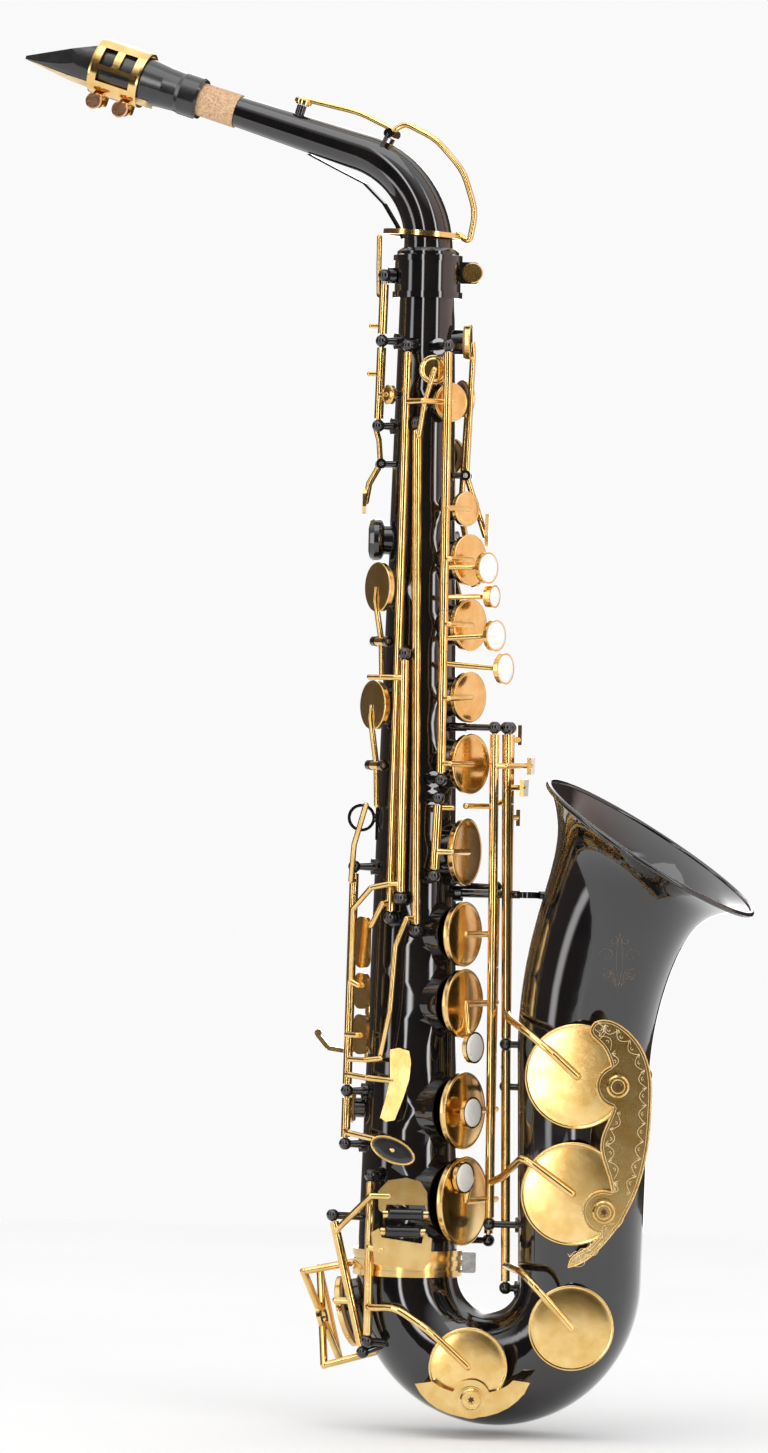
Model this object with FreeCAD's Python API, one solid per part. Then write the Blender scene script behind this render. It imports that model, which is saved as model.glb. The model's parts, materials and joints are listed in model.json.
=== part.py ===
"""Alto saxophone with black tubes and gilt keys, as an assembly of named pieces.

Bench frame used below, in millimetres: the body tube's axis is the z axis, z = 0 is where the tube
meets the bow, +x points to the bell and -x to the player. The key side of the horn is turned
KEY_SIDE_TURN from the bow's plane, so most places are given as (u, w, z): u runs across the key
side towards the bell, w stands out of it. write() moves every piece so that the origin of the
finished part is the centre of the strap ring.
"""
import FreeCAD
import Part
import math
import os

V = FreeCAD.Vector
UP = V(0, 0, 1)

# ---- driving dimensions, mm and degrees ----
KEY_SIDE_TURN = 15.0
WALL = 1.0                    # tube walls
BODY_R_BOTTOM = 25.2
BODY_TAPER = 0.0232           # radius lost per mm of height
BODY_TOP = 500.0
BOW_R = 44.4                  # centreline radius of the U bend
BELL_STRAIGHT = 107.5         # straight part of the bell's centreline
BELL_ARC_R = 206.0
BELL_LEAN = 32.3              # how far the mouth leans forward
BELL_RIM_R = 60.0
NECK_ARC_R = 50.0
NECK_START = 516.0            # height where the neck starts to bend
NECK_TURN = 72.5
NECK_STRAIGHT = 106.0
MOUTHPIECE_AT = 89.0          # where the mouthpiece starts on the straight part
TENON_R = 12.2
ROD_R = 1.2                   # steel hinge rods
RUNNING_GAP = 0.05
TUBE_R = 2.3                  # hinge tubes
BALL_R = 3.2                  # post heads
CHIMNEY = 4.5                 # tone hole rims above the tube
NECK_KEY_TURN = 1.9            # degrees
PAD_GAP = 0.15                # a shut pad's clearance from its rim
PAD_T = 3.0
CUP_T = 0.9
CUP_TOP = PAD_GAP + PAD_T + CUP_T + 0.4
PEARL_R = 7.0
SCREW_DROP = 17.6             # ligature screws below the mouthpiece axis
RING_U, RING_Z = -27.6, 229.5
RING_R, RING_WIRE, RING_H = 5.4, 1.6, 3.4

turn = math.radians(KEY_SIDE_TURN)
COS, SIN = math.cos(turn), math.sin(turn)
nodes = {}                    # node name: list of solids
hinges = {}                   # node name: point, axis, degrees shut to open, open at rest


def at(u, w, z):
    """A point of the key side frame, in the bench frame."""
    return V(u * COS + w * SIN, u * SIN - w * COS, z)


def polar(theta, rho, z=0.0):
    """The same, from an angle (0 at +u, 90 at +w) and a distance from the body tube's axis."""
    a = math.radians(theta)
    return at(rho * math.cos(a), rho * math.sin(a), z)


OUT = at(0, 1, 0)
ACROSS = at(1, 0, 0)


def body_r(z):
    return BODY_R_BOTTOM - BODY_TAPER * z


def add(node, *solids):
    nodes.setdefault(node, []).extend(solids)


def cyl(p, q, r):
    return Part.makeCylinder(r, (q - p).Length, p, q - p)


def cone(p, q, r0, r1):
    return Part.makeCone(r0, r1, (q - p).Length, p, q - p)


def ball(p, r):
    return Part.makeSphere(r, p)


def fuse(*solids):
    return solids[0].multiFuse(list(solids[1:])) if len(solids) > 1 else solids[0]


def turned(profile, base, axis):
    """A solid of revolution. profile is (radius, height) pairs, counted from base along axis."""
    pts = [V(r, 0, h) for r, h in profile]
    solid = Part.Face(Part.makePolygon(pts + pts[:1])).revolve(V(0, 0, 0), UP, 360)
    solid.Placement = FreeCAD.Placement(base, FreeCAD.Rotation(UP, axis))
    return solid


def ring(base, axis, r_in, r_out, height):
    return turned([(r_in, 0), (r_out, 0), (r_out, height), (r_in, height)], base, axis)


def arm(points, r=1.5):
    """A round bar along a bent path."""
    solids = [cyl(a, b, r) for a, b in zip(points, points[1:])]
    return fuse(*(solids + [ball(p, r) for p in points[1:]]))


def bent(points, r, reach=6.0):
    """A round bar along a path whose long corners are bent smoothly."""
    path = [points[0]]
    for a, b, c in zip(points, points[1:], points[2:]):
        cut = min(reach, (b - a).Length * 0.45, (c - b).Length * 0.45)
        if cut < 1.8:
            path.append(b)
            continue
        start = b + (a - b).normalize() * cut
        end = b + (c - b).normalize() * cut
        for t in (0.0, 1 / 3, 2 / 3, 1.0):
            path.append(start * (1 - t) ** 2 + b * (2 * t * (1 - t)) + end * t ** 2)
    return arm(path + [points[-1]], r)


def plate(outline, base, across, up, thickness):
    """A flat plate. outline is (a, b) pairs along across and up; it is thickened along across x up."""
    pts = [base + across * a + up * b for a, b in outline]
    return Part.Face(Part.makePolygon(pts + pts[:1])).extrude(across.cross(up) * thickness)


def oval(a, b, count=24):
    steps = [2 * math.pi * i / count for i in range(count)]
    return [(a * math.cos(t), b * math.sin(t)) for t in steps]


def rounded(a, b, corner, count=5):
    """Outline of a rectangle of half sizes a, b with round corners."""
    pts = []
    for k, (sx, sy) in enumerate([(1, 1), (-1, 1), (-1, -1), (1, -1)]):
        for i in range(count):
            t = math.pi / 2 * (k + i / (count - 1))
            pts.append((sx * (a - corner) + corner * math.cos(t), sy * (b - corner) + corner * math.sin(t)))
    return pts


# ---- tubes ----

def loft(sections, shrink=0.0):
    """A tube's solid through circles whose centres and directions lie in the bow's plane."""
    wires = []
    for centre, axis, r in sections:
        circle = Part.makeCircle(r - shrink)
        lean = math.degrees(math.atan2(axis.x, axis.z))
        circle.Placement = FreeCAD.Placement(centre, FreeCAD.Rotation(V(0, 1, 0), lean))
        wires.append(Part.Wire(circle))
    return Part.makeLoft(wires, True, False)


def bow_sections():
    found = []
    for i in range(9):
        a = math.pi * i / 8
        r = BODY_R_BOTTOM + (30.8 - BODY_R_BOTTOM) * i / 8 + 0.4 * math.sin(a)
        centre = V(BOW_R - BOW_R * math.cos(a), 0, -BOW_R * math.sin(a))
        found.append((centre, V(math.sin(a), 0, -math.cos(a)), r))
    return found


BELL_R_BOTTOM, BELL_R_THROAT = 30.8, 33.0
BELL_ARC = BELL_ARC_R * math.radians(BELL_LEAN)
BELL_SWELL = 5.5              # gentle growth of the radius along the leaning part
BELL_FLARE = BELL_RIM_R - BELL_R_THROAT - BELL_SWELL
FLARE_POWER = 9               # how late the mouth opens out


def bell_radius(s):
    if s <= BELL_STRAIGHT:
        return BELL_R_BOTTOM + (BELL_R_THROAT - BELL_R_BOTTOM) * s / BELL_STRAIGHT
    t = (s - BELL_STRAIGHT) / BELL_ARC
    return BELL_R_THROAT + BELL_SWELL * t + BELL_FLARE * t ** FLARE_POWER


def bell_point(s):
    """Point and direction of the bell's centreline."""
    x0 = 2 * BOW_R
    if s <= BELL_STRAIGHT:
        return V(x0, 0, s), UP
    a = (s - BELL_STRAIGHT) / BELL_ARC_R
    point = V(x0 + BELL_ARC_R * (1 - math.cos(a)), 0, BELL_STRAIGHT + BELL_ARC_R * math.sin(a))
    return point, V(math.sin(a), 0, math.cos(a))


BODY_OUTER = cone(V(0, 0, 0), V(0, 0, BODY_TOP), BODY_R_BOTTOM, body_r(BODY_TOP))
BOW_OUTER = loft(bow_sections())


def bell_solid(shrink=0.0):
    """The bell's straight part and its leaning part, whose sections crowd towards the mouth."""
    base, throat = V(2 * BOW_R, 0, 0), V(2 * BOW_R, 0, BELL_STRAIGHT)
    straight = cone(base, throat, BELL_R_BOTTOM - shrink, BELL_R_THROAT - shrink)
    steps = [1 - (1 - i / 14) ** 1.6 for i in range(15)]
    spots = [BELL_STRAIGHT + BELL_ARC * t for t in steps]
    return straight, loft([(*bell_point(s), bell_radius(s)) for s in spots], shrink)


BELL_OUTER = fuse(*bell_solid())

# Stack cups: height, rim radius, angle round the tube.
LEFT_CUPS = {"c": (385.0, 6.0, 35.0), "b": (359.5, 10.2, 30.0), "a": (327.0, 10.4, 30.0), "g": (291.0, 10.0, 30.0),
             "low_g": (257.5, 12.4, 28.0), "g_sharp": (213.5, 14.2, 26.0)}
RIGHT_CUPS = {"f_sharp": (172.5, 13.5, 40.0), "f": (138.0, 14.6, 40.0), "e": (84.5, 16.6, 40.0), "d": (39.5, 19.6, 40.0)}
PALM_CUPS = {"palm_f": (469.0, 6.4, 6.0), "palm_e_flat": (441.0, 6.8, -28.0), "palm_d": (412.0, 7.4, -58.0)}
TOP_CUPS = {"high_e": (438.0, 7.0, 56.0), "high_f_sharp": (454.0, 4.6, 80.0), "octave_vent": (441.5, 2.4, 146.0)}
SIDE_CUPS = {"side_c": (345.0, 9.8, 150.0), "side_b_flat": (286.0, 9.8, 150.0), "f_sharp_trill": (84.0, 5.2, 186.0)}
ROUND_CUPS = {**LEFT_CUPS, **RIGHT_CUPS, **PALM_CUPS, **TOP_CUPS, **SIDE_CUPS}
# Bell and bow cups face straight out of the key side: u, z, rim radius, height w of the rim.
BELL_W = 2 * BOW_R * SIN
FLAT_CUPS = {"low_b_flat": (87.3, 104.8, 23.2, BELL_W + 36.0), "low_b": (85.0, 46.7, 22.8, BELL_W + 35.0),
             "low_c_sharp": (81.3, -20.0, 18.4, BELL_W + 34.0), "low_c": (32.8, -41.0, 16.8, 43.8)}
E_FLAT_DROP = math.radians(14.0)
E_FLAT_OUT = V(-math.cos(E_FLAT_DROP), 0, -math.sin(E_FLAT_DROP))
E_FLAT_CENTRE = V(BOW_R, 0, 0) + E_FLAT_OUT * (BOW_R + 29.5)
E_FLAT_R = 15.5


def hole(name):
    """Centre of the rim, outward direction and radius of a tone hole."""
    if name in ROUND_CUPS:
        z, r, theta = ROUND_CUPS[name]
        return polar(theta, body_r(z) + CHIMNEY, z), polar(theta, 1), r
    if name in FLAT_CUPS:
        u, z, r, w = FLAT_CUPS[name]
        return at(u, w, z), OUT, r
    return E_FLAT_CENTRE, E_FLAT_OUT, E_FLAT_R


def drawn_hole(name, depth):
    """Outer and inner cutters of a tone hole."""
    centre, normal, r = hole(name)
    outer = Part.makeCylinder(r, depth, centre - normal * depth, normal)
    inner = Part.makeCylinder(r - WALL, depth + 3, centre - normal * (depth - 1), normal)
    return outer, inner


def tube_with_holes(node, outer, bore, names, depth, extra=()):
    pairs = [drawn_hole(name, depth) for name in names]
    whole = fuse(outer, *[p[0] for p in pairs], *extra).cut([bore] + [p[1] for p in pairs])
    add(node, max(whole.Solids, key=lambda s: s.Volume))


def make_tubes():
    bore = cone(V(0, 0, -1), V(0, 0, BODY_TOP + 1), body_r(-1) - WALL, body_r(BODY_TOP + 1) - WALL)
    tube_with_holes("body_tube", BODY_OUTER, bore, list(ROUND_CUPS), CHIMNEY + 8)
    tube_with_holes("bow", BOW_OUTER, loft(bow_sections(), WALL), ["low_c_sharp", "low_c", "low_e_flat"], 20)
    inner = fuse(*bell_solid(WALL))
    end, along = bell_point(BELL_STRAIGHT + BELL_ARC)
    rim = Part.makeTorus(BELL_RIM_R, 1.4, end, along)
    tube_with_holes("bell", BELL_OUTER, inner, ["low_b_flat", "low_b"], 20, [rim])


def make_rings():
    low, high, r = 1.0, 14.0, BODY_R_BOTTOM + 1.7
    bands = [ring(V(0, 0, z), UP, r - 1, r + 0.6, 3.0) for z in (low, (low + high) / 2 - 1.5, high - 3)]
    whole = fuse(cyl(V(0, 0, low), V(0, 0, high), r), *bands)
    add("bow_clamp_ring", whole.cut(BODY_OUTER))
    # The clamp's lugs and its screw, in the gap between the tube and the bell.
    lug = [plate(rounded(3.6, 5.2, 1.2), at(r + 3.8, w, 7.5), ACROSS, UP, 1.6) for w in (1.5, -1.6)]
    strap = plate(rounded(3.0, 1.4, 0.6), at(r + 3.8, -1.0, 7.5), ACROSS, UP, 3.1)
    add("bow_clamp", fuse(*lug, strap).cut(cyl(V(0, 0, 0), V(0, 0, 20), r + 0.62)))


def make_brace():
    """Ring and two stays between the body tube and the bell."""
    z = 192.6
    start, centre, finish = polar(4, body_r(z) - 1, z), at(57, 8.4, z), at(82, 10, z)
    into, out = (centre - start).normalize(), (finish - centre).normalize()
    hub = ring(centre - UP * 1.6, UP, 3.6, 6.2, 3.2)
    stays = [cyl(start, centre - into * 4.8, 2.1), cyl(centre + out * 4.8, finish, 2.1)]
    feet = [cyl(start, start + into * 4.0, 4.2), cyl(finish - out * 14, finish, 4.6)]
    whole = fuse(hub, *stays, *feet).cut([BODY_OUTER, BELL_OUTER])
    add("bell_brace", max(whole.Solids, key=lambda s: s.Volume))


def make_receiver():
    low, top = BODY_TOP - 8, BODY_TOP + 12
    outer = [cyl(V(0, 0, low), V(0, 0, top), 16.6), ring(V(0, 0, low - 1.6), UP, 12, 17.6, 3.2),
             ring(V(0, 0, top - 3), UP, 12.5, 17.4, 3.0)]
    ears = [plate(rounded(5.2, 5.5, 2), at(20.4, w, top - 8.5), ACROSS, UP, 3.2) for w in (0.9, -4.1)]
    slot = plate([(12, -12), (28, -12), (28, 8), (12, 8)], at(0, -0.9, top - 8), ACROSS, UP, 1.8)
    whole = fuse(*outer, *ears).cut([BODY_OUTER, cyl(V(0, 0, low), V(0, 0, top + 1), TENON_R + 0.05), slot])
    screw = at(22.4, 0, top - 8.5)
    whole = whole.cut(cyl(screw - OUT * 12, screw + OUT * 12, 1.75))
    add("neck_receiver", whole)
    head = turned([(0, 0), (4.6, 0), (5.2, 0.8), (5.2, 2.2), (4.6, 3.0), (0, 3.0)], screw + OUT * 4.6, OUT)
    stem = cyl(screw - OUT * 7.0, screw + OUT * 5, 1.7)
    add("neck_screw", fuse(head, stem))
    hinges["neck_screw"] = (screw, OUT, 360.0, False)


# ---- neck and mouthpiece ----

def neck_point(s):
    """Point and direction on the neck's centreline, s counted from the start of the bend."""
    bend = math.radians(NECK_TURN)
    a = min(max(s, 0) / NECK_ARC_R, bend)
    point = V(-NECK_ARC_R * (1 - math.cos(a)), 0, NECK_START + NECK_ARC_R * math.sin(a) + min(s, 0))
    along = V(-math.sin(a), 0, math.cos(a))
    return point + along * max(0, s - NECK_ARC_R * bend), along


NECK_BEND = NECK_ARC_R * math.radians(NECK_TURN)
NECK_END = NECK_BEND + NECK_STRAIGHT
NECK_R_BASE, NECK_R_BEND, NECK_R_END = 12.3, 9.5, 6.9
NECK_KEY_AT = NECK_BEND + 38.0


def neck_radius(s):
    if s <= NECK_BEND:
        return NECK_R_BASE + (NECK_R_BEND - NECK_R_BASE) * max(s, 0) / NECK_BEND
    return NECK_R_BEND + (NECK_R_END - NECK_R_BEND) * (s - NECK_BEND) / NECK_STRAIGHT


def neck_solid(shrink=0.0):
    spots = [NECK_BEND * i / 6 for i in range(7)]
    bend = loft([(*neck_point(s), neck_radius(s)) for s in spots], shrink)
    start, end = neck_point(NECK_BEND)[0], neck_point(NECK_END)[0]
    straight = cone(start, end, neck_radius(NECK_BEND) - shrink, neck_radius(NECK_END) - shrink)
    low = cyl(V(0, 0, NECK_START - 2), V(0, 0, NECK_START), neck_radius(0) - shrink)
    return fuse(low, bend, straight)


NECK_OUTER = neck_solid()


def make_neck():
    tenon_low = BODY_TOP - 10
    tenon = cyl(V(0, 0, tenon_low), V(0, 0, NECK_START - 1), TENON_R)
    collar = turned([(10, 0), (15.6, 0), (15.6, 1.6), (14.4, 2.6), (13.2, 3.4), (10, 3.4)], V(0, 0, BODY_TOP + 12.3), UP)
    bore = [neck_solid(WALL), cyl(V(0, 0, tenon_low - 1), V(0, 0, NECK_START), TENON_R - WALL)]
    top, along = neck_point(NECK_KEY_AT)
    normal = V(along.z, 0, -along.x) * -1
    normal = normal if normal.z > 0 else normal * -1
    r = neck_radius(NECK_KEY_AT)
    vent = Part.makeCylinder(2.4, r + 4.5, top, normal)
    vent_bore = Part.makeCylinder(1.4, r + 6, top, normal)
    whole = fuse(NECK_OUTER, tenon, collar, vent)
    for tool in bore + [vent_bore]:
        whole = whole.cut(tool)
    add("neck_tube", whole)
    start, end = MOUTHPIECE_AT - 20 + NECK_BEND, NECK_END - 0.5
    cork = loft([(*neck_point(start), 8.6), (*neck_point(end), 8.3)])
    add("neck_cork", cork.cut(NECK_OUTER))
    # Strip under the bend: it leaves the tube, runs below it and meets it again above the collar.
    spots = [(6, 0.0), (16, 2.4), (34, 4.0), (54, 3.6), (74, 2.2), (NECK_BEND + 26, 0.0)]
    lower = []
    for s, stand_off in spots:
        p, along = neck_point(s)
        inward = V(-along.z, 0, along.x)
        lower.append(p + inward * (neck_radius(s) + stand_off))
    pts = [p for p in lower] + [p + (V(-1, 0, -0.3).normalize() * 1.3) for p in reversed(lower)]
    strip = Part.Face(Part.makePolygon(pts + pts[:1])).extrude(V(0, 5, 0))
    strip.translate(V(0, -2.5, 0))
    add("neck_brace", strip.cut(NECK_OUTER))
    return normal, r


def make_neck_key(normal, r):
    """Octave key on the neck: pad, arm, saddle hinge, loop and ring round the tenon."""
    tip, along = neck_point(NECK_KEY_AT)
    rim = tip + normal * (r + 4.5)
    hinge_at, _ = neck_point(NECK_BEND * 0.86)
    back, d = neck_point(NECK_BEND * 0.86)
    out = V(d.z, 0, -d.x) * (1 if d.z * 0 + -d.x > 0 else -1)
    pivot = hinge_at + out * (neck_radius(NECK_BEND * 0.86) + 4.6)
    side = V(0, 1, 0)
    p, q = pivot - side * 5.5, pivot + side * 5.5
    cup = turned([(0, PAD_GAP + 2.0), (3.6, PAD_GAP + 2.0), (3.6, 1.0), (4.4, 1.0), (4.4, 2.8), (3.4, 3.6), (0, 3.8)], rim, normal)
    pad = Part.makeCylinder(3.55, 2.0, rim + normal * PAD_GAP, normal)
    mid, _ = neck_point(NECK_BEND + 8)
    front = bent([rim + normal * 3.2, mid + normal * 18.5, pivot + out * 2.2], 1.3)
    # The loop swings out behind the bend and returns to the ring.
    loop = []
    for s, gap in ((NECK_BEND * 0.86, 6.6), (52, 12.5), (40, 15.5), (26, 16.5), (12, 14.5), (2, 9.0)):
        c, d = neck_point(s)
        o = V(d.z, 0, -d.x)
        loop.append(c + o * (neck_radius(s) + gap))
    ring_z = BODY_TOP + 21.5
    hoop = ring(V(-3.2, 0, ring_z), V(0.06, 0, 1).normalize(), 17.2, 19.8, 2.6)
    rear = bent(loop + [V(15.4, 0, ring_z + 1.3)], 1.5)
    metal = fuse(cyl(p, q, 2.6), cup, front, rear, hoop)
    metal = metal.cut([cyl(p - side, q + side, ROD_R + RUNNING_GAP), pad])
    add("neck_octave_key", metal, pad)
    hinges["neck_octave_key"] = (pivot, V(0, 1, 0), NECK_KEY_TURN, False)
    ears = []
    foot, _ = neck_point(NECK_BEND * 0.86)
    for s in (-1, 1):
        ears.append(cyl(pivot + side * 5.8 * s, pivot + side * 7.6 * s, 2.4))
        ears.append(cyl(pivot + side * 6.7 * s, foot + side * 6.4 * s + out * 6, 1.1))
    rod = cyl(pivot - side * 7.6, pivot + side * 7.6, ROD_R)
    for e in (fuse(*ears[:2]), fuse(*ears[2:])):
        add("neck_key_saddle", max(e.cut([NECK_OUTER, rod]).Solids, key=lambda x: x.Volume))
    add("neck_key_saddle", rod)


def make_mouthpiece():
    start, along = neck_point(NECK_BEND + MOUTHPIECE_AT)
    up = V(along.z, 0, -along.x)
    up = up if up.z > 0 else up * -1
    length = 94.0
    outer = turned([(0, 0), (10.2, 0), (10.8, 1.2), (10.8, 10), (10.2, 12), (10.6, 20), (12.4, 36), (12.6, 46),
                    (11.4, 62), (10.6, length), (0, length)], start, along)
    side = V(0, 1, 0)
    # The beak slopes from above and the table is flat below.
    def wedge(points):
        pts = [start + along * a + up * b - side * 20 for a, b in points]
        return Part.Face(Part.makePolygon(pts + pts[:1])).extrude(side * 40)
    beak = wedge([(52, 12.8), (length + 1, -7.2), (length + 1, 20), (52, 20)])
    table = wedge([(24, -9.4), (70, -9.4), (length + 1, -8.4), (length + 1, -20), (24, -20)])
    flanks = []
    for s in (-1, 1):
        pts = [start + along * a + side * (s * b) - up * 20 for a, b in ((58, 12.6), (length + 1, 6.4), (length + 1, 20), (58, 20))]
        flanks.append(Part.Face(Part.makePolygon(pts + pts[:1])).extrude(up * 40))
    bore = cyl(start - along, start + along * 46, 8.68)
    window = wedge([(44, -6.0), (length - 4, -6.4), (length - 6, -20), (44, -20)])
    chamber = window.common(cyl(start + along * 40, start + along * length, 6.0))
    whole = outer.cut([beak, table] + flanks + [bore, chamber])
    add("mouthpiece", whole)
    hinges["mouthpiece"] = (start, along, 6.0, False)
    # Reed: flat on the table, thinning to the tip.
    reed_body = turned([(0, 26), (12.0, 26), (12.0, 26 + 66.5), (0, 26 + 66.5)], start - up * 3.6, along)
    block = wedge([(26, -9.45), (70, -9.45), (92.5, -8.55), (92.5, -8.75), (66, -12.0), (26, -12.6)])
    width = ((20, -6.6), (96, -6.2), (96, 6.2), (20, 6.6))
    rails = sheet([start - up * 20 + along * a + side * b for a, b in width], up, 16)
    add("reed", block.common(rails).common(reed_body))
    # Ligature: a sleeve with side windows and two screws below.
    low, high = 31.0, 58.0
    sleeve = turned([(0, low), (14.2, low), (14.4, low + 1), (14.4, high - 1), (14.2, high), (0, high)], start, along)
    inside = outer.fuse(turned([(0, 20), (13.0, 20), (13.0, 64), (0, 64)], start, along))
    lugs = []
    for a in (37.0, 51.5):
        for s in (-1, 1):
            eye = start + along * a - up * SCREW_DROP
            lugs.append(cyl(eye + side * (s * 3.0), eye + side * (s * 6.2), 2.4))
            web = [eye + along * 2.4 * k + up * h + side * (s * 4.6 - 1.6) for k, h in ((1, 0), (-1, 0), (-1, 5.8), (1, 5.8))]
            lugs.append(sheet(web, side, 3.2))
    windows = []
    for s in (-1, 1):
        for a, b in ((35.5, 42.5), (46.5, 53.5)):
            pts = [start + along * x + up * y for x, y in ((a, 1.0), (b, 1.0), (b, 10), (a, 10))]
            windows.append(Part.Face(Part.makePolygon(pts + pts[:1])).extrude(side * (s * 20)))
        pts = [start + along * x + up * y for x, y in ((35.5, -7.5), (53.5, -7.5), (53.5, -1.5), (35.5, -1.5))]
        windows.append(Part.Face(Part.makePolygon(pts + pts[:1])).extrude(side * (s * 20)))
    gap = ((28, -2.6), (62, -2.6), (62, 2.6), (28, 2.6))
    slot = sheet([start - up * 20 + along * a + side * b for a, b in gap], up, 12)
    body = fuse(sleeve, *lugs).cut([inside, nodes["reed"][0]] + windows + [slot])
    holes = [cyl(start + along * a - up * SCREW_DROP - side * 10, start + along * a - up * SCREW_DROP + side * 10, 1.4) for a in (37.0, 51.5)]
    add("ligature", body.cut(holes))
    for i, a in enumerate((37.0, 51.5), 1):
        c = start + along * a - up * SCREW_DROP
        near = side * -1
        knob = turned([(0, 0), (3.6, 0), (4.3, 0.8), (4.3, 3.2), (3.6, 3.9), (0, 3.9)], c + near * 6.6, near)
        add(f"ligature_screw_{i}", fuse(knob, cyl(c - near * 8.0, c + near * 7, 1.35)))
        hinges[f"ligature_screw_{i}"] = (c, near, 360.0, False)


# ---- keys ----

def cup_and_pad(name):
    """A key cup and its pad, shut on the named tone hole."""
    centre, normal, rim = hole(name)
    r = rim + 1.8
    top = PAD_GAP + PAD_T
    pad = Part.makeCylinder(r - 0.2, PAD_T, centre + normal * PAD_GAP, normal)
    profile = [(0, top), (r, top), (r, top - 1.9), (r + 0.8, top - 1.9), (r + 0.8, top - 0.1), (r + 0.2, top + 0.5),
               (0.75 * r, top + CUP_T + 0.1), (0.3 * r, top + CUP_T + 0.3), (0, top + CUP_T + 0.3)]
    return turned(profile, centre, normal), pad


def cup_top(name, more=0.0):
    centre, normal, _ = hole(name)
    return centre + normal * (CUP_TOP - 0.3 + more)


def over(start, cup, r=1.5, clear=1.3):
    """An arm that rises above a cup's edge before it runs to the cup's centre."""
    _, normal, _ = hole(cup)
    top = cup_top(cup)
    rise = max(0.0, (top - start).dot(normal) + clear)
    return arm([start, start + normal * rise, top + (start + normal * rise - top) * 0.12, top], r)


def pearl_touch(centre, normal, r=PEARL_R):
    holder = turned([(0, 0), (r + 0.3, 0), (r + 0.9, 0.6), (r + 0.9, 2.8), (r, 2.8), (r, 1.1), (0, 1.1)], centre, normal)
    disc = turned([(0, 1.1), (r - 0.03, 1.1), (r - 0.03, 2.9), (0.8 * r, 3.4), (0.4 * r, 3.6), (0, 3.65)], centre, normal)
    return holder, disc


def on(line, z):
    """The point of a hinge line at height z."""
    p, q = line
    return p + (q - p) * ((z - p.z) / (q.z - p.z))


def key(name, p, q, parts, cups=(), pearls=(), lift=3.5, rest_open=False, degrees=None, press=None):
    """A key on a rod from p to q, modelled shut. lift is how far its first pad rises. press is a
    (point, direction) that a key without a pad is pushed at."""
    axis = (q - p).normalize()
    metals = [cyl(p, q, TUBE_R)] + list(parts)
    loose = []
    for cup in cups:
        shell, pad = cup_and_pad(cup)
        metals.append(shell)
        loose.append(pad)
    for centre, normal in pearls:
        holder, disc = pearl_touch(centre, normal)
        metals.append(holder)
        loose.append(disc)
    metal = fuse(*metals).cut([cyl(p - axis, q + axis, ROD_R + RUNNING_GAP)] + loose)
    if cups:
        centre, normal, _ = hole(cups[0])
        reach = axis.cross(centre - p).dot(normal)
        degrees = math.degrees(lift / abs(reach))
    else:
        reach = axis.cross(press[0] - p).dot(press[1])
    if reach < 0:
        axis = axis * -1
    solids = [metal] + loose
    if rest_open:
        for s in solids:
            s.rotate(p, axis, degrees)
    hinges[name] = (p, axis, degrees, rest_open)
    add(name, *solids)


def rod(p, q):
    along = (q - p).normalize()
    add("hinge_rods", cyl(p - along * 2.6, q + along * 2.6, ROD_R))


def post(head, foot, line, node="posts", stem=1.9, ball_r=BALL_R):
    """A post from a tube's surface to the ball that holds a rod's end. line is the rod's direction."""
    along = (head - foot).normalize()
    solids = [ball(head, ball_r), cone(foot, head, stem + 0.5, stem - 0.3)]
    flange = Part.makeCylinder(stem + 2.2, 3.2, foot, along)
    whole = fuse(*solids, flange).cut([BODY_OUTER, cyl(head - line * 8, head + line * 8, ROD_R)])
    add(node, max(whole.Solids, key=lambda s: s.Volume))


def body_post(head, line, node="posts"):
    foot = V(head.x, head.y, 0).normalize() * (body_r(head.z) - 1.2)
    post(head, V(foot.x, foot.y, head.z), line, node)
    nodes[node][-1] = max(nodes[node][-1].cut(nodes["body_tube"][0]).Solids, key=lambda s: s.Volume)


def line_posts(p, q, node="posts"):
    """The rod between two posts and the posts themselves; p and q are the ball centres."""
    along = (q - p).normalize()
    body_post(p, along, node)
    body_post(q, along, node)
    rod(p, q)


END = BALL_R + 0.25           # from a ball's centre to the end of a hinge tube
GAP = 0.3                     # between hinge tubes on one rod

# Hinge lines of the key side, by the centres of their posts.
LEFT_LINE = (at(10.8, 27.3, 466), at(11.6, 28.3, 249.5))
G_SHARP_LINE = (at(10.6, 28.3, 240.3), at(9.2, 28.6, 201.5))
HIGH_E_LINE = (at(-9.3, 18.6, 466), at(-12.4, 22.4, 180))
SIDE_C_LINE = (at(-7.8, 26.6, 312), at(-7.4, 28.6, 190))
HIGH_F_SHARP_LINE = (at(-4.0, 19.8, 427), at(0.6, 27.4, 174))
RIGHT_LINE = (at(40.4, -0.6, 196), at(40.4, -0.6, 18.6))
OUTER_LINE = (at(-30.6, 5.5, 205), at(-32.4, 6.5, 66))
OUTER_POST_Z = 92.6
B_LINE = (at(38.0, 17.5, 276), at(40.5, 19.0, 28))
A_LINE = (at(44.1, 14.0, 276), at(49.2, 15.0, -4))
A_POST_Z = 117.8
C_LINE = (at(46.0, 0.5, 276), at(47.5, 0.5, 96))
LOW_C_LINE = (at(-19.2, 23.6, 51.5), at(-19.2, 23.6, -31.5))


def split(line, z_hi, z_lo):
    return on(line, z_hi), on(line, z_lo)


def out_of(theta):
    return polar(theta, 1)


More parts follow.
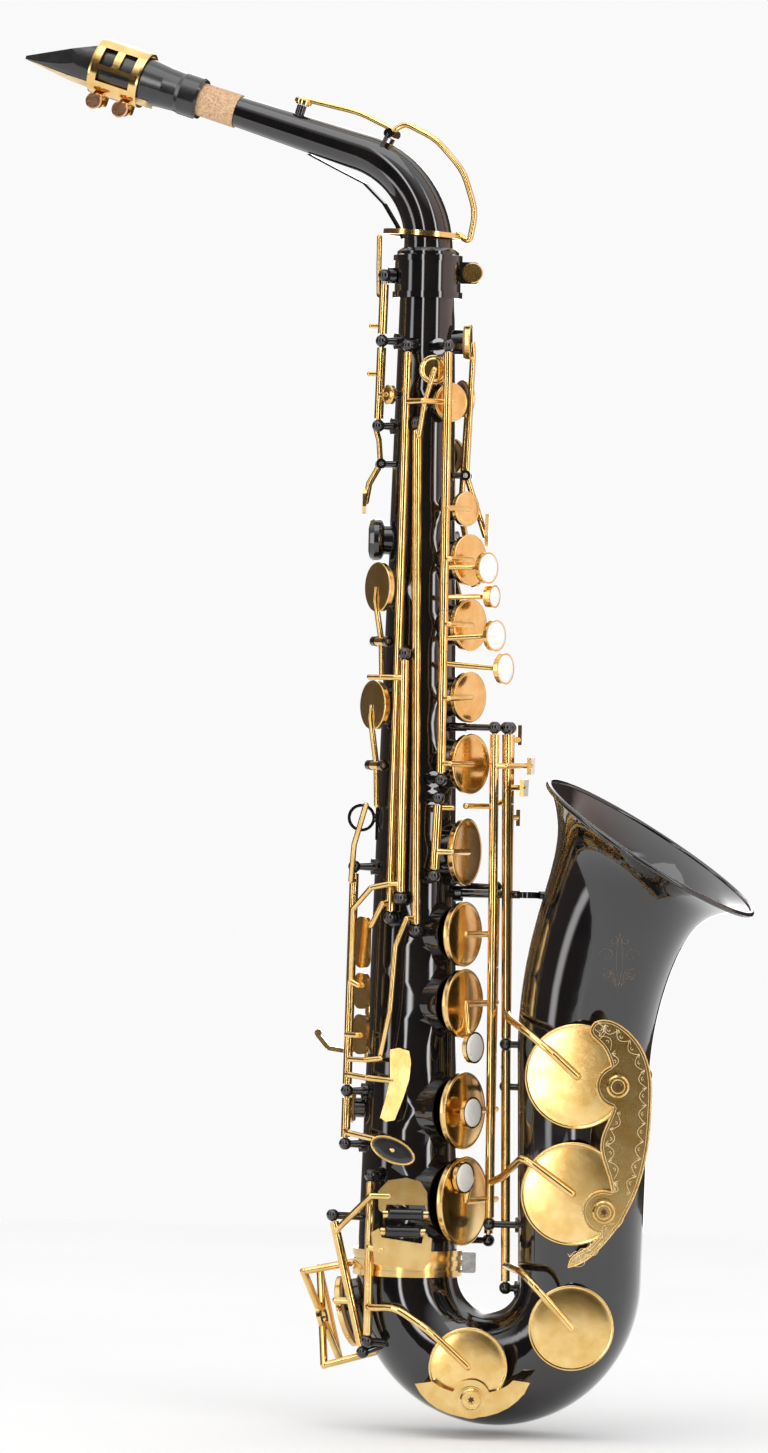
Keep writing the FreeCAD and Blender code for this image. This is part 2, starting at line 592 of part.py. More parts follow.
def make_left_stack():
    line = LEFT_LINE
    line_posts(*line)
    spans = {"c_vent_key": (462.5, 378), "b_key": (377.7, 347.5), "bis_key": (347.2, 334), "a_key": (333.7, 313.4),
             "g_key": (313.1, 253.2)}

    def cup_arm(cup, z):
        return over(on(line, z), cup)

    def pearl(u, z, theta=30, rho_w=18.0):
        return at(u, rho_w, z), out_of(theta)

    def pearl_arm(z, spot):
        centre, normal = spot
        return arm([on(line, z), centre + normal * 0.6], 1.4)

    one = pearl(29.6, 355.5)
    key("b_key", *split(line, *spans["b_key"]), [cup_arm("b", 359.5), pearl_arm(355.5, one)], ["b"], [one],
        3.2, True)
    key("c_vent_key", *split(line, *spans["c_vent_key"]), [cup_arm("c", 385)], ["c"], [], 2.6, True)
    bis = pearl(33.4, 341.4)
    centre, normal = bis
    parts = [arm([on(line, 340.5), centre + normal * 0.6], 1.3), turned([(0, 0), (5.6, 0), (5.6, 1.4), (0, 1.4)], centre, normal)]
    key("bis_key", *split(line, *spans["bis_key"]), parts, (), (), 0, False, 5.0, (centre, normal * -1))
    holder, disc = pearl_touch(centre + normal * 1.0, normal, 4.9)
    nodes["bis_key"][0] = nodes["bis_key"][0].fuse(holder)
    add("bis_key", disc)
    two = pearl(34.2, 321.8)
    key("a_key", *split(line, *spans["a_key"]), [cup_arm("a", 327), pearl_arm(320, two)], ["a"], [two], 3.2, True)
    three = pearl(39.0, 305.4, 24, 17.0)
    key("g_key", *split(line, *spans["g_key"]), [cup_arm("g", 290), cup_arm("low_g", 257.5), pearl_arm(307.4, three)],
        ["g", "low_g"], [three], 3.2, True)
    line = G_SHARP_LINE
    line_posts(*line)
    p, q = split(line, 240.3 - END, 201.5 + END)
    lug = on(line, 235.5)
    parts = [over(on(line, 213.5), "g_sharp", 1.6), arm([lug, lug + at(7.0, -1.0, 0)], 1.4)]
    key("g_sharp_key", p, q, parts, ["g_sharp"], [], 3.2)


def make_right_stack():
    line = RIGHT_LINE
    along = (line[1] - line[0]).normalize()
    for z in (196, 18.6):
        post(on(line, z), at(body_r(z) * 0.82, -9.0, z), along)
    rod(*line)
    spans = {"f_sharp": (192.5, 156), "f": (155.7, 112), "e": (111.7, 62.5), "d": (62.2, 22.1)}
    pearls = {"f": (25.2, 116.4), "e": (24.8, 84.0), "d": (21.6, 51.5)}
    for name, (hi, lo) in spans.items():
        z = RIGHT_CUPS[name][0]
        parts = [over(on(line, z), name, 1.7)]
        found = []
        if name in pearls:
            u, pz = pearls[name]
            spot = at(u, 27.0, pz)
            normal = out_of(44)
            parts.append(arm([cup_top(name), cup_top(name, 1.6) + UP * (pz - z) * 0.6, spot + normal * 0.5], 1.6))
            found = [(spot, normal)]
        key(f"{name}_key" if name != "f_sharp" else "f_sharp_key", *split(line, hi, lo), parts, [name], found, 3.6, True)


def rocker(name, cup, pivot_z, tail_z, theta, tail_out, parts=(), lift=3.0, stand=5.6):
    """A key on a short level rod: its cup above the pivot, its tail or touch below."""
    tangent = polar(theta + 90, 1)
    outward = out_of(theta)
    rho = body_r(pivot_z) + stand
    pivot = outward * rho + UP * pivot_z
    p, q = pivot - tangent * 4.0, pivot + tangent * 4.0
    centre, normal, _ = hole(cup)
    top = cup_top(cup)
    tail = outward * (body_r(tail_z) + tail_out) + UP * tail_z
    blades = [arm([top, top - UP * 6 + outward * 0.6, pivot], 1.5), arm([pivot, tail], 1.5)]
    key(name, p, q, blades + list(parts), [cup], [], lift)
    for s in (-1, 1):
        head = pivot + tangent * (s * 6.0)
        base = outward * (body_r(pivot_z) - 1.0) + UP * pivot_z + tangent * (s * 6.0)
        whole = fuse(cyl(head - tangent * 1.6, head + tangent * 1.6, 2.6), cyl(base, head, 1.5))
        add("posts", whole.cut([BODY_OUTER, cyl(head - tangent * 4, head + tangent * 4, ROD_R)]))
    add("hinge_rods", cyl(pivot - tangent * 7.6, pivot + tangent * 7.6, ROD_R))
    return pivot, tangent, outward


def teardrop(length, wide):
    arc = [math.pi * i / 12 for i in range(13)]
    return [(wide * 0.35, length)] + [(wide * math.cos(t), -wide * math.sin(t)) for t in arc] + [(-wide * 0.35, length)]


def sheet(points, direction, thickness):
    """A flat piece with the given corners, thickened along a direction."""
    return Part.Face(Part.makePolygon(points + points[:1])).extrude(direction * thickness)


def make_palm_keys():
    places = {"palm_f": (402, 372, 4.0, 15.0), "palm_e_flat": (384, 352, -30.0, 13.0), "palm_d": (372, 342, -60.0, 13.0)}
    for name, (pivot_z, tail_z, theta, tail_out) in places.items():
        outward, tangent = out_of(theta), polar(theta + 90, 1)
        foot = outward * (body_r(tail_z) + tail_out) + UP * tail_z
        touch = sheet([foot + tangent * a + UP * b for a, b in teardrop(11, 5.6)], outward, 1.8)
        rocker(f"{name}_key", name, pivot_z, tail_z, theta, tail_out, [touch], 3.0)


def make_side_keys():
    # High E: its cup and the uppermost touch turn on one long tube.
    line = HIGH_E_LINE
    line_posts(*line)
    p, q = split(line, 466 - END, 180 + END)
    touch_at = at(-24.5, 19.5, 167.5)
    face, across = out_of(140), out_of(50)

    def touch(z, half, length_bend=0.0):
        base = at(-24.8, 18.6, z)
        pts = [base + across * a + UP * b for a, b in rounded(5.2, half, 4.0)]
        return Part.Face(Part.makePolygon(pts + pts[:1])).extrude(face * 1.8)

    parts = [over(on(line, 438), "high_e"),
             arm([on(line, 188), on(line, 188) + at(-4, 3.0, -1), at(-21.5, 23.0, 176)], 1.5), touch(167.5, 12.8)]
    key("high_e_key", p, q, parts, ["high_e"], [], 1.3)
    # Side C: the lever's finger lies over the rocker's tail.
    line = SIDE_C_LINE
    line_posts(*line)
    p, q = split(line, 312 - END, 190 + END)
    finger = on(line, 300)
    parts = [arm([finger, at(-12.5, 28.2, 300), at(-19, 26.0, 300), at(-25.0, 20.2, 300)], 1.4),
             arm([on(line, 197), at(-13, 30.2, 197), at(-22, 28.0, 195), at(-31.0, 21.0, 184), at(-31.4, 18.0, 148)], 1.4),
             arm([at(-31.4, 18.0, 148), at(-27.5, 20.0, 146)], 1.3), touch(143.2, 9.0)]
    key("side_c_lever", p, q, parts, (), (), 0, False, 4.0, (at(-24.8, 18.6, 143), face * -1))
    rocker("side_c_key", "side_c", 318, 300, 150, 3.4, (), 2.6, 4.6)
    rocker("side_b_flat_key", "side_b_flat", 256, 236, 150, 3.4, (), 2.6, 4.6)
    # Outer rod: side B flat lever, high F sharp lever above the middle post, F sharp trill below it.
    line = OUTER_LINE
    along = (line[1] - line[0]).normalize()
    for z in (205, OUTER_POST_Z, 66):
        body_post(on(line, z), along, "posts")
    rod(*line)
    p, q = split(line, 205 - END, 112)
    up_finger = [on(line, 198), on(line, 198) + at(-1.5, 7, 0), at(-31.0, 16.5, 216), at(-25.5, 20.6, 236)]
    parts = [arm(up_finger, 1.4), arm([on(line, 121), on(line, 121) + at(-1, 6, 0), at(-27.5, 19.6, 121)], 1.4), touch(121.5, 10.0)]
    key("side_b_flat_lever", p, q, parts, (), (), 0, False, 5.0, (at(-24.8, 18.6, 121), face * -1))
    p, q = split(line, 111.7, OUTER_POST_Z + END)
    arc = [(0.0, 14.5), (4.8, 15.5), (10.5, 14.0), (11.5, 8.0), (10.8, 0.0), (7.8, -9.5), (3.4, -20.5), (-1.2, -21.5), (-4.6, -19.5),
           (-1.6, -9.0), (0.4, 0.0)]
    base = at(-11.0, 27.6, 100)
    pts = [base + ACROSS * a * 0.92 + OUT * a * 0.18 + UP * b for a, b in arc]
    parts = [Part.Face(Part.makePolygon(pts + pts[:1])).extrude(OUT * 1.8),
             arm([on(line, 101), on(line, 101) + at(1, 8, 0), at(-22, 24.5, 100), at(-9.5, 28.4, 99)], 1.5),
             arm([on(line, 108), on(line, 108) + at(1, 12, 1), at(-23, 28.0, 109), at(-15.6, 29.6, 110)], 1.3)]
    key("high_f_sharp_lever", p, q, parts, (), (), 0, False, 5.0, (base, OUT * -1))
    p, q = split(line, OUTER_POST_Z - END, 66 + END)
    centre = at(-8.6, 31.5, 64.5)
    tilt = math.radians(-24)
    a_dir = ACROSS * math.cos(tilt) + UP * math.sin(tilt)
    b_dir = UP * math.cos(tilt) - ACROSS * math.sin(tilt)
    pts = [centre + a_dir * a + b_dir * b for a, b in oval(12.0, 6.2)]
    parts = [Part.Face(Part.makePolygon(pts + pts[:1])).extrude(OUT * 2.0),
             arm([on(line, 73), on(line, 73) + at(2, 12, -1), at(-18.0, 30.5, 70)], 1.5), arm([at(-18.0, 30.5, 70), centre + OUT * 1.0], 1.5),
             arm([on(line, 84), cup_top("f_sharp_trill")], 1.4)]
    key("f_sharp_trill_key", p, q, parts, ["f_sharp_trill"], [], 2.2)
    # High F sharp: long tube with the curved lever at its foot.
    line = HIGH_F_SHARP_LINE
    line_posts(*line)
    p, q = split(line, 427 - END, 174 + END)
    parts = [arm([on(line, 420), at(-3.0, 25.6, 421), at(-0.6, 26.6, 437), cup_top("high_f_sharp", 1.2), cup_top("high_f_sharp")], 1.3),
             arm([on(line, 180), on(line, 180) + at(-4.6, 3.6, 0), at(-9.4, 30.5, 166), at(-11.4, 29.6, 134), at(-15.6, 26.4, 112)], 1.4)]
    key("high_f_sharp_key", p, q, parts, ["high_f_sharp"], [], 0.52)


def make_octave():
    line = (at(-21.6, 5.0, 501.5), at(-23.2, 6.0, 426))
    along = (line[1] - line[0]).normalize()
    for z in (501.5, 468.6, 426):
        head = on(line, z)
        if z > BODY_TOP - 8:
            foot = V(head.x, head.y, 0).normalize() * 17.0
            post(head, V(foot.x, foot.y, z), along)
            nodes["posts"][-1] = nodes["posts"][-1].cut(nodes["neck_receiver"][0])
        else:
            body_post(head, along)
    rod(*line)
    p, q = split(line, 500.3 - END, 468.6 + END)
    pin = at(-24.6, -1.5, 506)
    parts = [arm([on(line, 490), on(line, 490) + at(-2.4, -5.0, 2), pin, pin + UP * 15], 1.3),
             arm([on(line, 476), on(line, 476) + at(-5.5, -2.0, 0)], 1.3)]
    key("octave_pin_key", p, q, parts, (), (), 0, False, 5.0, (pin, at(1, 0, 0)))
    p, q = split(line, 468.6 - END, 426 + END)
    parts = [arm([on(line, 441.5), cup_top("octave_vent", 1.0), cup_top("octave_vent")], 1.2),
             arm([on(line, 452), on(line, 452) + at(-5.5, -2.0, 0)], 1.3)]
    key("octave_vent_key", p, q, parts, ["octave_vent"], [], 1.6)
    # Thumb lever: a rocker behind the tube with a curved touch round the thumb rest.
    theta, pivot_z = 178, 407.0
    tangent, outward = polar(theta + 90, 1), out_of(theta)
    pivot = outward * (body_r(pivot_z) + 6.0) + UP * pivot_z
    p, q = pivot - tangent * 4.5, pivot + tangent * 4.5
    sweep = [pivot, pivot + outward * 5.5 - UP * 10, pivot + outward * 7.0 - UP * 19]
    tip = sweep[-1]
    touch = Part.Face(Part.makePolygon([tip + tangent * a + UP * b for a, b in rounded(6, 6.5, 4) + rounded(6, 6.5, 4)[:1]])).extrude(outward * 1.8)
    upper = [pivot, pivot + outward * 1.0 + UP * 12, pivot + outward * 2.5 + UP * 17]
    key("octave_lever", p, q, [arm(sweep, 1.6), arm(upper, 1.4), touch], (), (), 0, False, 6.0, (tip, outward * -1))
    for s in (-1, 1):
        head = pivot + tangent * (s * 6.6)
        base = outward * (body_r(pivot_z) - 1.5) + UP * pivot_z + tangent * (s * 6.6)
        whole = fuse(cyl(head - tangent * 1.6, head + tangent * 1.6, 2.6), cyl(base, head, 1.6))
        add("posts", whole.cut([BODY_OUTER, cyl(head - tangent * 4, head + tangent * 4, ROD_R)]))
    add("hinge_rods", cyl(pivot - tangent * 8.2, pivot + tangent * 8.2, ROD_R))


def make_back_fittings():
    z = 369.0
    foot = out_of(180)
    base = foot * (body_r(z) - 2) + UP * z
    drum = turned([(0, 0), (7.5, 0), (7.5, 4.5), (10.0, 5.6), (10.6, 7.2), (10.6, 9.6), (9.4, 11.6), (6.0, 12.4), (0, 12.2)], base, foot)
    add("thumb_rest", drum.cut(BODY_OUTER))
    centre = at(RING_U, 0, RING_Z)
    axis = OUT
    outer = ring(centre - axis * (RING_H / 2), axis, RING_R, RING_R + RING_WIRE, RING_H)
    stub = cyl(at(RING_U + RING_R + 0.8, 0, RING_Z), at(-body_r(RING_Z) + 3, 0, RING_Z), 2.4)
    pad = Part.makeBox(3.0, 7, 22)
    pad.Placement = FreeCAD.Placement(at(-body_r(RING_Z) - 0.7, 3.5, RING_Z - 11), FreeCAD.Rotation(V(1, 0, 0), ACROSS))
    bore = cyl(centre - axis * 9, centre + axis * 9, RING_R)
    add("strap_ring", fuse(outer, stub, pad).cut([BODY_OUTER, bore]))
    # Thumb hook: a base plate on the tube and a J of flat bar.
    z = 122.0
    r = body_r(z)
    plate_box = Part.makeBox(3.4, 12, 30)
    plate_box.Placement = FreeCAD.Placement(at(-r - 1.4, 2.0, z - 15), FreeCAD.Rotation(V(1, 0, 0), ACROSS))
    path = [(-r + 1.0, 119), (-r - 9.0, 113), (-r - 19.0, 114.5), (-r - 24.0, 120.5)]
    hook = []
    for (u0, z0), (u1, z1) in zip(path, path[1:]):
        d = V(u1 - u0, z1 - z0, 0).normalize()
        n = V(-d.y, d.x, 0)
        quad = [(u0, z0), (u1, z1), (u1 + n.x * 2.2, z1 + n.y * 2.2), (u0 + n.x * 2.2, z0 + n.y * 2.2)]
        pts = [at(a, 0.5, b) for a, b in quad]
        hook.append(sheet(pts, OUT * -1, 9.0))
        joint = at(u1 + n.x * 1.1, 0.5, z1 + n.y * 1.1)
        hook.append(cyl(joint, joint - OUT * 9.0, 1.1))
    tip = at(path[-1][0] - 0.8, 0.5, path[-1][1] + 0.6)
    hook.append(cyl(tip, tip - OUT * 9.0, 1.8))
    add("thumb_hook", fuse(plate_box, *hook).cut(BODY_OUTER))


def make_low_keys():
    """Bell keys on their long tubes, with their touches at the left hand's little finger."""
    def table(z, half, w0, w1, u=51.0):
        pts = [at(u, w, zz) for w, zz in ((w0, z - half), (w1, z - half), (w1 - 2.5, z + half), (w0, z + half))]
        return Part.Face(Part.makePolygon(pts + pts[:1])).extrude(ACROSS * 2.0)

    # Upper bracket: a black arm from the body with three balls.
    for line, z in ((A_LINE, 276), (B_LINE, 276), (C_LINE, 276)):
        head = on(line, z)
        whole = fuse(ball(head, BALL_R), cyl(head, at(22, 13.0, z), 1.7))
        add("bell_key_posts", whole)
    root = nodes.pop("bell_key_posts")
    stem = cyl(polar(30, body_r(276) - 2, 276), at(23.5, 13.4, 276), 2.2)
    bores = [cyl(line[0] * 2 - on(line, 268), on(line, 268), ROD_R) for line in (A_LINE, B_LINE, C_LINE)]
    add("posts", fuse(*root, stem).cut([BODY_OUTER] + bores))
    for line, z in ((A_LINE, A_POST_Z), (A_LINE, -4), (B_LINE, 28), (C_LINE, 96)):
        head = on(line, z)
        d = (line[1] - line[0]).normalize()
        target = V(2 * BOW_R, 0, max(z, 0))
        way = V(target.x - head.x, target.y - head.y, 0)
        foot = head + way * ((way.Length - 29.0) / way.Length)
        whole = fuse(ball(head, BALL_R), cyl(head, foot, 1.8), Part.makeCylinder(4.0, 4.0, foot - way.normalize() * 3.4, way))
        whole = whole.cut([BELL_OUTER, BOW_OUTER, cyl(head - d * 8, head + d * 8, ROD_R)])
        add("posts", max(whole.Solids, key=lambda s: s.Volume))
    for line in (A_LINE, B_LINE, C_LINE):
        rod(*line)
    line = A_LINE
    p, q = split(line, 276 - END, A_POST_Z + END)
    parts = [bent([on(line, 134), at(49.5, 34, 132), at(60, 57, 127), at(74, 66.5, 117), cup_top("low_b_flat", 1.3), cup_top("low_b_flat", 0.1)], 1.9), table(246, 4.2, 12, -12),
             arm([on(line, 246), at(52.1, 8.5, 246.3)], 1.5)]
    key("low_b_flat_key", p, q, parts, ["low_b_flat"], [], 4.6, True)
    p, q = split(line, A_POST_Z - END, -4 + END)
    tail = on(line, 106)
    parts = [bent([on(line, 7), at(50.5, 34, 8), at(56.5, 56.5, 7), at(61.5, 64.5, 2), cup_top("low_c_sharp", 1.5), cup_top("low_c_sharp")], 1.9), arm([tail, tail + at(0.2, -5.6, 0)], 1.2)]
    key("low_c_sharp_key", p, q, parts, ["low_c_sharp"], [], 4.0)
    line = B_LINE
    p, q = split(line, 276 - END, 28 + END)
    parts = [bent([on(line, 48.6), at(47, 28, 52), at(60.5, 65.5, 64.5), cup_top("low_b", 1.6), cup_top("low_b", 0.1)], 1.9), table(257, 4.2, 10, -12, 54.0),
             arm([on(line, 257), at(44.5, 20.5, 257), at(55.1, 6.5, 257.3)], 1.5)]
    key("low_b_key", p, q, parts, ["low_b"], [], 4.6, True)
    line = C_LINE
    p, q = split(line, 276 - END, 238)
    parts = [table(272.5, 5.0, -4, -20, 50.0), arm([on(line, 270), at(50.6, -5, 270)], 1.5),
             arm([on(line, 240), at(36, 8, 236.6), at(24.5, 23.0, 236.6)], 1.6)]
    key("g_sharp_lever", p, q, parts, (), (), 0, False, 4.0, (at(50, -12, 272), ACROSS * -1))
    p, q = split(line, 237.7, 96 + END)
    finger = on(line, 106)
    parts = [table(231, 4.2, -6, -20, 50.0), arm([on(line, 231), at(50.6, -7, 231)], 1.5), arm([finger, finger + at(-1.6, 6.4, 0)], 1.1)]
    key("low_c_sharp_lever", p, q, parts, (), (), 0, False, 4.0, (at(50, -12, 231), ACROSS * -1))


ROLLER_HALF, ROLLER_R, ROLLER_PIN = 8.6, 2.9, 0.7


def roller_prongs(z, w):
    """The two ends of a plate that a roller's pin is held in."""
    return [cyl(at(-1.5 + s * (ROLLER_HALF + 0.3), w, z), at(-1.5 + s * (ROLLER_HALF + 2.6), w, z), 2.2) for s in (-1, 1)]


def make_roller(name, z, w, carrier):
    """A roller on its pin, put where its plate rests."""
    p, q = at(-1.5 - ROLLER_HALF, w, z), at(-1.5 + ROLLER_HALF, w, z)
    axis = (q - p).normalize()
    barrel = turned([(ROLLER_PIN + RUNNING_GAP, 0), (ROLLER_R - 0.5, 0), (ROLLER_R, 0.7), (ROLLER_R, 2 * ROLLER_HALF - 0.7),
                     (ROLLER_R - 0.5, 2 * ROLLER_HALF), (ROLLER_PIN + RUNNING_GAP, 2 * ROLLER_HALF)], p, axis)
    pin = cyl(p - axis * 2.4, q + axis * 2.4, ROLLER_PIN)
    origin, hinge, degrees, rest_open = hinges[carrier]
    metal = nodes[carrier][0].cut(pin) if not rest_open else None
    if rest_open:
        pin.rotate(origin, hinge, degrees)
        barrel.rotate(origin, hinge, degrees)
        turn_by = FreeCAD.Rotation(hinge, degrees)
        p = origin + turn_by.multVec(p - origin)
        axis = turn_by.multVec(axis)
        metal = nodes[carrier][0].cut(pin)
    nodes[carrier][0] = metal
    nodes[carrier].append(pin)
    add(name, barrel)
    hinges[name] = (p, axis, 360.0, False)


def make_pinky_keys():
    """Low C and low E flat, with their plates and rollers for the right hand's little finger."""
    line = LOW_C_LINE
    along = (line[1] - line[0]).normalize()
    body_post(line[0], along)
    head = line[1]
    foot = at(-1.0, 14.0, -33)
    whole = fuse(ball(head, BALL_R), cyl(head, foot, 2.0)).cut([BOW_OUTER, cyl(head - along * 8, head + along * 8, ROD_R)])
    add("posts", max(whole.Solids, key=lambda s: s.Volume))
    rod(*line)
    lower = [(-14, -9), (10, -11.5), (14, -7), (14.5, 4.5), (10.5, 6.5), (9.5, 1.8), (-10.5, 4.5), (-12, 9), (-15.5, 7)]
    base = at(-1.5, 36.5, 17)
    pts = [base + ACROSS * a + UP * b for a, b in lower]
    p, q = split(line, 51.5 - END, -31.5 + END)
    parts = [Part.Face(Part.makePolygon(pts + pts[:1])).extrude(OUT * 2.0),
             arm([on(line, 16), on(line, 16) + at(1, 11, 0), at(-12, 37.5, 15)], 1.6),
             bent([on(line, -14), on(line, -14) + at(2, 8, 0), at(-4, 42, -13), at(14, 48.5, -24), cup_top("low_c")], 1.8)]
    parts += roller_prongs(24.4, 36.9)
    key("low_c_key", p, q, parts, ["low_c"], [], 4.0, True)
    make_roller("low_c_roller", 24.4, 36.9, "low_c_key")
    # Low E flat turns on a rod that lies parallel to its own cup.
    slant = V(-math.sin(E_FLAT_DROP), 0, math.cos(E_FLAT_DROP))
    middle = V(-22.0, -24.5, -12.0)
    top, bottom = middle + slant * 44, middle - slant * 26
    for head, inward, outer in ((top, V(0, 0, top.z - 2), BODY_OUTER), (bottom, V(16, 0, -24), BOW_OUTER)):
        way = (inward - head).normalize()
        whole = fuse(ball(head, BALL_R), cyl(head, head + way * 26, 2.0))
        whole = whole.cut([outer, BODY_OUTER, BOW_OUTER, cyl(head - slant * 8, head + slant * 8, ROD_R)])
        best = min(whole.Solids, key=lambda s: (s.CenterOfMass - head).Length)
        add("posts", best)
    rod(top, bottom)
    upper = [(-13.5, -6), (-14, 3), (-9, 8.5), (0, 10), (7.0, 8.2), (10.4, 3), (10.8, -6), (10.5, -8.5), (9.5, -3.5), (-9.5, -3.5), (-10.5, -8.5)]
    base = at(-1.5, 38.6, 41.5)
    pts = [base + ACROSS * a + UP * b for a, b in upper]
    start = top - slant * END
    reach = [top - slant * 9, top - slant * 9 + at(2, 10, 4), at(-19, 39.4, 42), at(-10, 39.6, 42)]
    parts = [Part.Face(Part.makePolygon(pts + pts[:1])).extrude(OUT * 2.0), arm(reach, 1.6),
             arm([middle, middle + V(-9, 3, 0), cup_top("low_e_flat")], 1.7)]
    parts += roller_prongs(33.2, 39.0)
    key("low_e_flat_key", start, bottom + slant * END, parts, ["low_e_flat"], [], 2.1)
    make_roller("low_e_flat_roller", 33.2, 39.0, "low_e_flat_key")


GUARD_TIP = 11                 # the outline's point at the guard's foot


def make_guards():
    """Cages over the bell, low C and low E flat cups, each with bumper screws."""
    thick, lift = 1.6, 13.5
    w = BELL_W + 36.0 + lift
    side = [(89.2, 132), (97, 133), (106, 128), (113.5, 119), (117.8, 106), (118.3, 90), (117.0, 70), (113, 52), (106, 36), (96, 22), (86, 13.2),
            (78.7, 10.5), (80, 15.5), (88, 21), (95.0, 29.0), (99.0, 39), (99.0, 51), (95.5, 62), (93.5, 72), (96, 81), (99.5, 90), (100.2, 100),
            (97.5, 112), (92.5, 121), (87.5, 126)]
    pts = [at(u, w, z) for u, z in side]
    tip = GUARD_TIP
    edges = [Part.BSplineCurve(), Part.BSplineCurve()]
    edges[0].interpolate(pts[:tip + 1])
    edges[1].interpolate(pts[tip:] + pts[:1])
    sheet = Part.Face(Part.Wire([e.toShape() for e in edges])).extrude(OUT * thick)
    parts = [sheet]
    seats = {"b_flat": (101.5, 100.6), "b": (95.8, 38.6)}
    for u, z in seats.values():
        parts.append(cyl(at(u, w, z), at(u, w + thick, z), 10.6))
        parts.append(cyl(at(u, w, z), at(u, w + thick + 2.2, z), 6.4))
    for u, z, foot_u in ((116.0, 105, 115.8), (114, 68, 110.6), (88.5, 17.8, 87.7)):
        foot = at(foot_u, BELL_W + 14, z)
        parts.append(cyl(at(u, w + 0.5, z), foot, 1.8))
        parts.append(cyl(foot + (at(u, w, z) - foot).normalize() * 5, foot - OUT * 2, 3.6))
    whole = fuse(*parts).cut([BELL_OUTER, nodes["bell"][0]] + [cyl(at(u, w - 3, z), at(u, w + 8, z), 4.1) for u, z in seats.values()])
    add("bell_key_guard", max(whole.Solids, key=lambda s: s.Volume))
    for u, z in seats.values():
        add("guard_bumpers", bumper(at(u, w + thick + 2.6, z), OUT, 8.6))
    # Low C: a crescent below its cup.
    w = 42.0 + lift
    arc = [(4.8, -52), (8, -47)]
    cu, cz, r_out, r_in = 32.8, -41.0, 30.0, 21.8
    outer = [(cu + r_out * math.cos(math.radians(t)), cz + r_out * 0.82 * math.sin(math.radians(t))) for t in range(200, 346, 12)]
    inner = [(cu + r_in * math.cos(math.radians(t)), cz - 2 + r_in * 0.5 * math.sin(math.radians(t))) for t in range(340, 196, -12)]
    pts = [at(u, w, z) for u, z in outer + inner]
    parts = [Part.Face(Part.makePolygon(pts + pts[:1])).extrude(OUT * thick)]
    seat = (32.6, -56.5)
    parts += [cyl(at(seat[0], w, seat[1]), at(seat[0], w + thick, seat[1]), 9.6), cyl(at(seat[0], w, seat[1]), at(seat[0], w + thick + 2.0, seat[1]), 6.4)]
    for u, z in ((9, -51.5), (57.5, -52.5)):
        foot = at(u + (6 if u < 30 else -3), 24, z + 6)
        parts.append(cyl(at(u, w + 0.5, z), foot, 1.8))
    whole = fuse(*parts).cut([BOW_OUTER, cyl(at(seat[0], w - 3, seat[1]), at(seat[0], w + 8, seat[1]), 4.1)])
    add("low_c_guard", max(whole.Solids, key=lambda s: s.Volume))
    add("guard_bumpers", bumper(at(seat[0], w + thick + 2.4, seat[1]), OUT, 9.4))
    # Low E flat: an X shaped cage with four feet.
    n = E_FLAT_OUT
    a_dir = V(0, 1, 0)
    b_dir = V(-math.sin(E_FLAT_DROP), 0, math.cos(E_FLAT_DROP))
    c = E_FLAT_CENTRE + n * 16.0
    parts = [ring(c, n, 3.4, 7.0, 2.0)]
    for sa in (-1, 1):
        for sb in (-1, 1):
            corner = c + a_dir * (sa * 15.5) + b_dir * (sb * 24.0)
            parts.append(cyl(c + (corner - c).normalize() * 4.5 + n, corner + n, 1.9))
            foot = corner - n * 26 - a_dir * (sa * 6) - b_dir * (sb * 1)
            parts.append(cyl(corner + n, foot, 1.7))
            parts.append(ball(corner + n, 1.9))
    parts += [cyl(c + a_dir * (s * 15.5) - b_dir * 24 + n, c + a_dir * (s * 15.5) + b_dir * 24 + n, 1.5) for s in (1,)]
    whole = fuse(*parts).cut([BOW_OUTER, BODY_OUTER] + [cyl(V(0, 0, 0), V(0, 0, 16), BODY_R_BOTTOM + 2.6)])
    add("low_e_flat_guard", max(whole.Solids, key=lambda s: s.Volume))


def bumper(top, normal, stem):
    head = turned([(0, 0), (5.2, 0), (5.6, 0.6), (5.6, 2.2), (4.8, 3.0), (2.0, 3.0), (2.0, 1.6), (0, 1.6)], top - normal * 0.3, normal)
    return fuse(head, cyl(top - normal * (stem - 2.5), top, 3.9))


def write():
    origin = at(RING_U, 0, RING_Z)
    os.makedirs("parts", exist_ok=True)
    for name, solids in nodes.items():
        shape = Part.makeCompound([s for solid in solids for s in solid.Solids])
        shape.translate(origin * -1)
        shape.exportStep(f"parts/{name}.step")


make_tubes()
make_rings()
make_brace()
make_receiver()
make_neck_key(*make_neck())
make_mouthpiece()
make_left_stack()
make_right_stack()
make_palm_keys()
make_side_keys()
make_octave()
make_back_fittings()
make_low_keys()
make_pinky_keys()
make_guards()
write()
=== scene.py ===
"""Alto saxophone: looks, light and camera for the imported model."""
import json
import math
import random

import bmesh
import bpy
import numpy as np
from mathutils import Matrix, Vector


